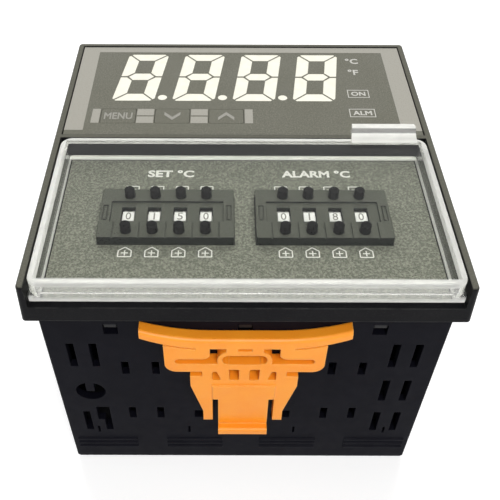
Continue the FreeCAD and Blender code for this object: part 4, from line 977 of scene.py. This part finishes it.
@dataclass
class OverlayPrint:
    """Grey border, key bars, lamp marks and unit signs printed on the overlay."""

    ink: float = 0.03 * MM
    left_band: float = 4.75 * MM
    right_band: float = 5.1 * MM
    top_band: float = 2.7 * MM
    band_foot: float = 5.8 * MM
    bar_gap: float = 0.35 * MM
    bar_width: float = 2.1 * MM
    bar_split: float = 0.5 * MM
    lamp_line: float = 0.22 * MM
    lamp_height: float = 3.6 * MM
    lamp_widths: tuple[float, float] = (6.8 * MM, 5.8 * MM)
    lamp_words: tuple[str, str] = ("ALM", "ON")
    word_height: float = 1.9 * MM
    unit_height: float = 2.7 * MM
    weight: float = 0.025
    unit_places: tuple[tuple[str, float, float], ...] = (
        ("°C", 31.6 * MM, 38.6 * MM),
        ("°F", 31.4 * MM, 32.9 * MM),
    )

    def __post_init__(self) -> None:
        """Reads the overlay's place from the frame."""
        self.low, self.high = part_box("front_overlay")
        self.base = self.high.z - self.ink / 2
        self.top = self.high.z + self.ink

    def build(self) -> None:
        """Makes all printing of the overlay."""
        border = self.printed("overlay_border", self.border() + self.key_bars())
        add_piece("overlay_border", border, HOUSING, InkColour.GREY)
        frames = self.printed("frames", self.lamp_frames())
        marks = joined("overlay_marks", [frames] + self.words())
        add_piece("overlay_marks", marks, HOUSING, InkColour.PALE)

    def printed(self, name: str, outlines: list[Outline]) -> Mesh:
        """Fuses flat outlines into one layer of ink.

        Args:
            name: Name of the mesh.
            outlines: Outlines of the printing.

        Returns:
            The mesh of the layer.
        """
        return fused(name, [prism_mesh("bar", shape, self.base, self.top) for shape in outlines])

    def border(self) -> list[Outline]:
        """Bands at the left, the top and the right edge."""
        under_top = self.high.y - self.top_band
        sides = (self.band_foot, under_top)
        return [rectangle((self.low.x, self.high.x), (under_top, self.high.y)),
                rectangle((self.low.x, self.low.x + self.left_band), sides),
                rectangle((self.high.x - self.right_band, self.high.x), sides)]

    def key_bars(self) -> list[Outline]:
        """Bars at both ends of the key row and split bars between the keys."""
        keys = [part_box(key.value) for key in Key]
        collar = (keys[0][1].x - keys[0][0].x - KeyMarks.cap_width) / 2
        spans = [(low.x + collar, high.x - collar) for low, high in keys]
        foot = keys[0][0].y + collar
        head = keys[0][1].y - collar
        middle = (foot + head) / 2
        first = spans[0][0] - self.bar_gap
        last = spans[-1][1] + self.bar_gap
        bars = [rectangle((first - self.bar_width, first), (foot, head)),
                rectangle((last, last + self.bar_width), (foot, head))]
        for before, after in zip(spans, spans[1:]):
            span = (before[1] + self.bar_gap, after[0] - self.bar_gap)
            bars.append(rectangle(span, (foot, middle - self.bar_split / 2)))
            bars.append(rectangle(span, (middle + self.bar_split / 2, head)))
        return bars

    def lamp_places(self) -> list[Point]:
        """Middle of each lamp mark, near one first."""
        low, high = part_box("indicator_lamps")
        radius = (high.x - low.x) / 2
        middle = (low.x + high.x) / 2
        return [(middle, low.y + radius), (middle, high.y - radius)]

    def lamp_frames(self) -> list[Outline]:
        """Thin frames round the lamp marks."""
        bars: list[Outline] = []
        tall = self.lamp_height / 2
        for (x, y), width in zip(self.lamp_places(), self.lamp_widths):
            wide = width / 2
            bars += frame_bars((x - wide, x + wide), (y - tall, y + tall), self.lamp_line)
        return bars

    def words(self) -> list[Mesh]:
        """Lamp words and unit signs."""
        height = (self.base + self.top) / 2
        places = [(word, x, y, self.word_height)
                  for word, (x, y) in zip(self.lamp_words, self.lamp_places())]
        places += [(word, x, y, self.unit_height) for word, x, y in self.unit_places]
        meshes = []
        for word, x, y, size in places:
            mesh = word_mesh(word, size, self.top - self.base, weight=self.weight)
            mesh.transform(Matrix.Translation((x, y, height)))
            meshes.append(mesh)
        return meshes


@dataclass
class KeyMarks:
    """Raised word and arrows on the keys."""

    cap_width: float = 9.0 * MM
    relief: float = 0.10 * MM
    word: str = "MENU"
    word_height: float = 2.9 * MM
    word_width: float = 7.4 * MM
    word_weight: float = 0.025
    arrow_width: float = 4.2 * MM
    arrow_height: float = 2.2 * MM
    arrow_line: float = 1.3 * MM

    def build(self) -> None:
        """Makes the marks, each on its own key."""
        for key in Key:
            low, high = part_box(key.value)
            mesh = self.lettering() if key is Key.MODE else self.arrow(key)
            mesh.transform(Matrix.Translation(((low.x + high.x) / 2, (low.y + high.y) / 2, high.z)))
            add_piece(key.value + "_mark", mesh, key.value, InkColour.DIM)

    def lettering(self) -> Mesh:
        """Word of the first key, about the origin."""
        return word_mesh(self.word, self.word_height, self.relief, self.word_width,
                         self.word_weight)

    def arrow(self, key: Key) -> Mesh:
        """Broad chevron about the origin.

        Args:
            key: The up key or the down key.

        Returns:
            Its mesh.
        """
        half = self.arrow_width / 2
        rise = self.arrow_height / 2
        band = self.arrow_line / 2
        outline = [(-half, -rise - band), (0.0, rise - band), (half, -rise - band),
                   (half, -rise + band), (0.0, rise + band), (-half, -rise + band)]
        if key is Key.DOWN:
            outline = [(x, -y) for x, y in reversed(outline)]
        return prism_mesh("arrow", outline, -self.relief / 2, self.relief / 2)


@dataclass
class SettingBank:
    """Printing that belongs to one setting switch: its title, icons and wheel numbers."""

    bank: Bank
    title: str
    title_width: float
    rows: RowTree
    shown: tuple[int, int, int, int]
    ink: float = 0.03 * MM
    title_height: float = 2.7 * MM
    title_rise: float = 8.6 * MM
    title_weight: float = 0.035
    icon_size: float = 3.2 * MM
    icon_line: float = 0.27 * MM
    icon_gap: float = 0.7 * MM
    icon_shoulder: float = 0.25
    icon_reach: float = 0.5
    icon_drop: float = 0.2
    number_height: float = 2.3 * MM
    number_width: float = 1.25 * MM
    narrow_number: str = "1"
    wheel_sides: int = 10

    def __post_init__(self) -> None:
        """Reads the switch's place from the frame."""
        self.low, self.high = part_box(self.bank.value + "_switch_body")
        self.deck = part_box("deck_label")[1].z
        self.wheels = [f"{self.bank.value}_wheel_{unit}" for unit in range(1, len(self.shown) + 1)]
        boxes = [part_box(wheel) for wheel in self.wheels]
        self.x = [(low.x + high.x) / 2 for low, high in boxes]

    def build(self) -> None:
        """Makes the title, the icon rows and the numbers."""
        title = word_mesh(self.title, self.title_height, 2 * self.ink, self.title_width,
                          self.title_weight)
        middle = (self.x[0] + self.x[-1]) / 2
        title.transform(Matrix.Translation((middle, self.high.y + self.title_rise, self.deck)))
        add_piece(self.bank.value + "_title", title, HOUSING, InkColour.WHITE)
        away = self.icon_gap + self.icon_size / 2
        self.icon_row(Sign.PLUS, self.low.y - away)
        self.icon_row(Sign.MINUS, self.high.y + away)
        for wheel, first in zip(self.wheels, self.shown):
            self.number_wheel(wheel, first)

    def icon_row(self, sign: Sign, y: float) -> None:
        """Prints one icon for each wheel on the deck.

        Args:
            sign: Which icon it is.
            y: Middle of the row along Y.
        """
        name = f"{self.bank.value}_{sign.value}_icons"
        icon = fused(name, [prism_mesh("line", outline, self.deck - self.ink, self.deck + self.ink)
                            for outline in self.icon(sign)])
        icon.transform(Matrix.Translation((self.x[0], y, 0.0)))
        step = Vector((self.x[1] - self.x[0], 0.0, 0.0))
        white = InkColour.WHITE
        row = self.rows.row(name, icon, len(self.x), step, PALETTE.of(white.value))
        add_piece(name, row, HOUSING, white)

    def icon(self, sign: Sign) -> list[Outline]:
        """House-shaped frame with a plus or a minus inside.

        Args:
            sign: Which icon it is. The minus icon points the other way.

        Returns:
            Outlines of its strokes.
        """
        way = 1 if sign is Sign.PLUS else -1
        half = self.icon_size / 2
        inset = half - self.icon_line / 2
        shoulder = half * self.icon_shoulder
        reach = half * self.icon_reach
        middle = -half * self.icon_drop * way
        corners = [(-inset, -inset), (inset, -inset), (inset, shoulder), (0.0, inset),
                   (-inset, shoulder)]
        corners = [(x, y * way) for x, y in corners]
        ends = list(zip(corners, corners[1:] + corners[:1]))
        ends.append(((-reach, middle), (reach, middle)))
        if sign is Sign.PLUS:
            ends.append(((0.0, middle - reach), (0.0, middle + reach)))
        return [stroke(start, end, self.icon_line) for start, end in ends]

    def number_wheel(self, wheel: str, first: int) -> None:
        """Prints the numbers round one wheel.

        Args:
            wheel: Node and body of the wheel.
            first: Number that shows in the window.
        """
        low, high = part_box(wheel)
        centre = Matrix.Translation((low + high) / 2)
        outward = Matrix.Translation((0.0, 0.0, (high.z - low.z) / 2))
        meshes = []
        for side in range(self.wheel_sides):
            number = str((first + side) % self.wheel_sides)
            width = None if number == self.narrow_number else self.number_width
            mesh = word_mesh(number, self.number_height, 2 * self.ink, width)
            turn = Matrix.Rotation(2 * math.pi * side / self.wheel_sides, 4, "X")
            mesh.transform(centre @ turn @ outward)
            meshes.append(mesh)
        name = wheel + "_numbers"
        add_piece(name, joined(name, meshes), wheel, InkColour.FAINT)


@dataclass
class TerminalNumbers:
    """Moulded-in numbers beside the rear terminals."""

    rows: int = 7
    height: float = 3.0 * MM
    relief: float = 0.20 * MM
    inset: float = 3.2 * MM
    hub_half: float = 21.5 * MM
    hub_back: float = 2.0 * MM
    plate_height: float = 7.6 * MM

    def build(self) -> None:
        """Makes one number for each terminal on the middle of the base."""
        low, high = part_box("terminal_plates")
        pitch = (high.y - low.y - self.plate_height) / (self.rows - 1)
        first = high.y - self.plate_height / 2
        meshes = []
        for column, side in enumerate((1, -1)):
            for row in range(self.rows):
                number = str(column * self.rows + row + 1)
                mesh = word_mesh(number, self.height, 2 * self.relief)
                x = side * (self.hub_half - self.inset)
                place = Matrix.Translation((x, first - row * pitch, self.hub_back))
                mesh.transform(place @ Matrix.Rotation(math.pi, 4, "Y"))
                meshes.append(mesh)
        numbers = joined("terminal_numbers", meshes)
        add_piece("terminal_numbers", numbers, HOUSING, InkColour.PALE)


@dataclass
class PhotoCamera:
    """Camera fitted to the photograph."""

    image: float = 500.0
    focal: float = 714.82
    middle_x: float = 223.2
    pitch: float = 46.32
    roll: float = 0.19
    place: tuple[float, float, float] = (-4.98 * MM, -142.33 * MM, 185.39 * MM)
    sensor: float = 36.0
    nearest: float = 1.0 * MM

    def build(self) -> None:
        """Makes the camera and looks through it."""
        data = bpy.data.cameras.new("photo_camera")
        data.sensor_width = self.sensor
        data.lens = self.focal / self.image * self.sensor
        data.shift_x = (self.image / 2 - self.middle_x) / self.image
        data.clip_start = self.nearest
        camera = bpy.data.objects.new("photo_camera", data)
        tilt = Matrix.Rotation(math.radians(90.0 - self.pitch), 4, "X")
        lean = Matrix.Rotation(math.radians(self.roll), 4, "Z")
        camera.matrix_world = Matrix.Translation(self.place) @ tilt @ lean
        bpy.context.scene.collection.objects.link(camera)
        bpy.context.scene.camera = camera


@dataclass(frozen=True)
class SoftLamp:
    """One square lamp of the studio."""

    name: str
    place: tuple[float, float, float]
    size: float
    power: float
    mirrored: bool = True

    def build(self, target: Vector) -> None:
        """Makes the lamp.

        Args:
            target: Point that it shines at.
        """
        data = bpy.data.lights.new(self.name, "AREA")
        data.size = self.size
        data.energy = self.power
        lamp = bpy.data.objects.new(self.name, data)
        aim = (target - Vector(self.place)).to_track_quat("-Z", "Y")
        lamp.matrix_world = Matrix.Translation(self.place) @ aim.to_matrix().to_4x4()
        lamp.visible_glossy = self.mirrored
        lamp.visible_transmission = False
        bpy.context.scene.collection.objects.link(lamp)
        LOG.info("lamp %s", self.name)


@dataclass
class Studio:
    """Pale floor, white surround and soft lamps."""

    floor_half: float = 1.5
    floor_drop: float = 0.1 * MM
    floor_tone: Colour = (0.82, 0.82, 0.82)
    floor_roughness: float = 0.9
    floor_shine: float = 0.1
    floor_lift: float = 0.36
    floor_fade: Point = (0.35, 1.10)
    white: Colour = (1.0, 1.0, 1.0)
    surround: float = 0.18
    half_bounce: float = 0.5
    aim_height: float = 50.0 * MM
    lamps: tuple[SoftLamp, ...] = (
        SoftLamp("far_softbox", (0.0, 0.64, 0.62), 0.70, 6.5, mirrored=False),
        SoftLamp("front_lamp", (0.12, -0.50, 0.56), 0.36, 4.0),
        SoftLamp("side_lamp", (-0.58, -0.10, 0.36), 0.36, 0.7),
    )

    def build(self) -> None:
        """Makes the floor, the world and the lamps."""
        self.make_floor()
        self.make_world()
        for lamp in self.lamps:
            lamp.build(Vector((0.0, 0.0, self.aim_height)))

    def seen(self, graph: NodeGraph) -> NodeSocket:
        """Adds a switch that is one for rays that show the background.

        Args:
            graph: Node tree to add it to.

        Returns:
            One for camera, glossy and transmission rays before any dull surface, else zero.
        """
        path = graph.add("ShaderNodeLightPath").outputs
        passing = graph.calc("MAXIMUM", path["Is Glossy Ray"], path["Is Transmission Ray"])
        shown = graph.calc("MAXIMUM", path["Is Camera Ray"], passing)
        direct = graph.calc("LESS_THAN", path["Diffuse Depth"], self.half_bounce)
        return graph.calc("MULTIPLY", shown, direct)

    def make_floor(self) -> None:
        """Makes the floor, which keeps the object's shadow and fades into the surround."""
        graph = ShaderGraph("floor_white")
        away = graph.add("ShaderNodeVectorMath", {"Vector": graph.place}, operation="LENGTH")
        lift = graph.remap(away.outputs["Value"], self.floor_fade, (self.floor_lift, 1.0))
        glow = graph.calc("MULTIPLY", self.seen(graph), lift)
        graph.feed(graph.surface, {"Base Color": self.floor_tone, "Emission Color": self.white,
                                   "Emission Strength": glow, "Roughness": self.floor_roughness,
                                   "Specular IOR Level": self.floor_shine})
        span = (-self.floor_half, self.floor_half)
        mesh = bpy.data.meshes.new("floor")
        corners = [(x, y, -self.floor_drop) for x, y in rectangle(span, span)]
        mesh.from_pydata(corners, [], [(0, 1, 2, 3)])
        mesh.materials.append(graph.material)
        floor = bpy.data.objects.new("floor", mesh)
        bpy.context.scene.collection.objects.link(floor)

    def make_world(self) -> None:
        """Makes the white surround."""
        world = bpy.data.worlds.new("surround")
        world.use_nodes = True
        graph = NodeGraph(world.node_tree)
        crossing = graph.add("ShaderNodeLightPath").outputs["Is Transmission Ray"]
        light = graph.remap(crossing, FULL, (self.surround, 0.0))
        level = graph.calc("MAXIMUM", self.seen(graph), light)
        background = world.node_tree.nodes["Background"]
        graph.feed(background, {"Color": self.white, "Strength": level})
        bpy.context.scene.world = world


def main() -> None:
    """Dresses the frame and sets the studio."""
    logging.basicConfig(level=logging.INFO, format="%(message)s")
    bpy.context.scene.view_settings.view_transform = "Standard"
    PALETTE.dress_nodes()
    OverlayPrint().build()
    KeyMarks().build()
    rows = RowTree("icon_row")
    SettingBank(Bank.SET, "SET °C", 11.5 * MM, rows, (0, 1, 5, 0)).build()
    SettingBank(Bank.ALARM, "ALARM °C", 17.0 * MM, rows, (0, 1, 8, 0)).build()
    TerminalNumbers().build()
    PhotoCamera().build()
    Studio().build()


if __name__ == "__main__":
    main()
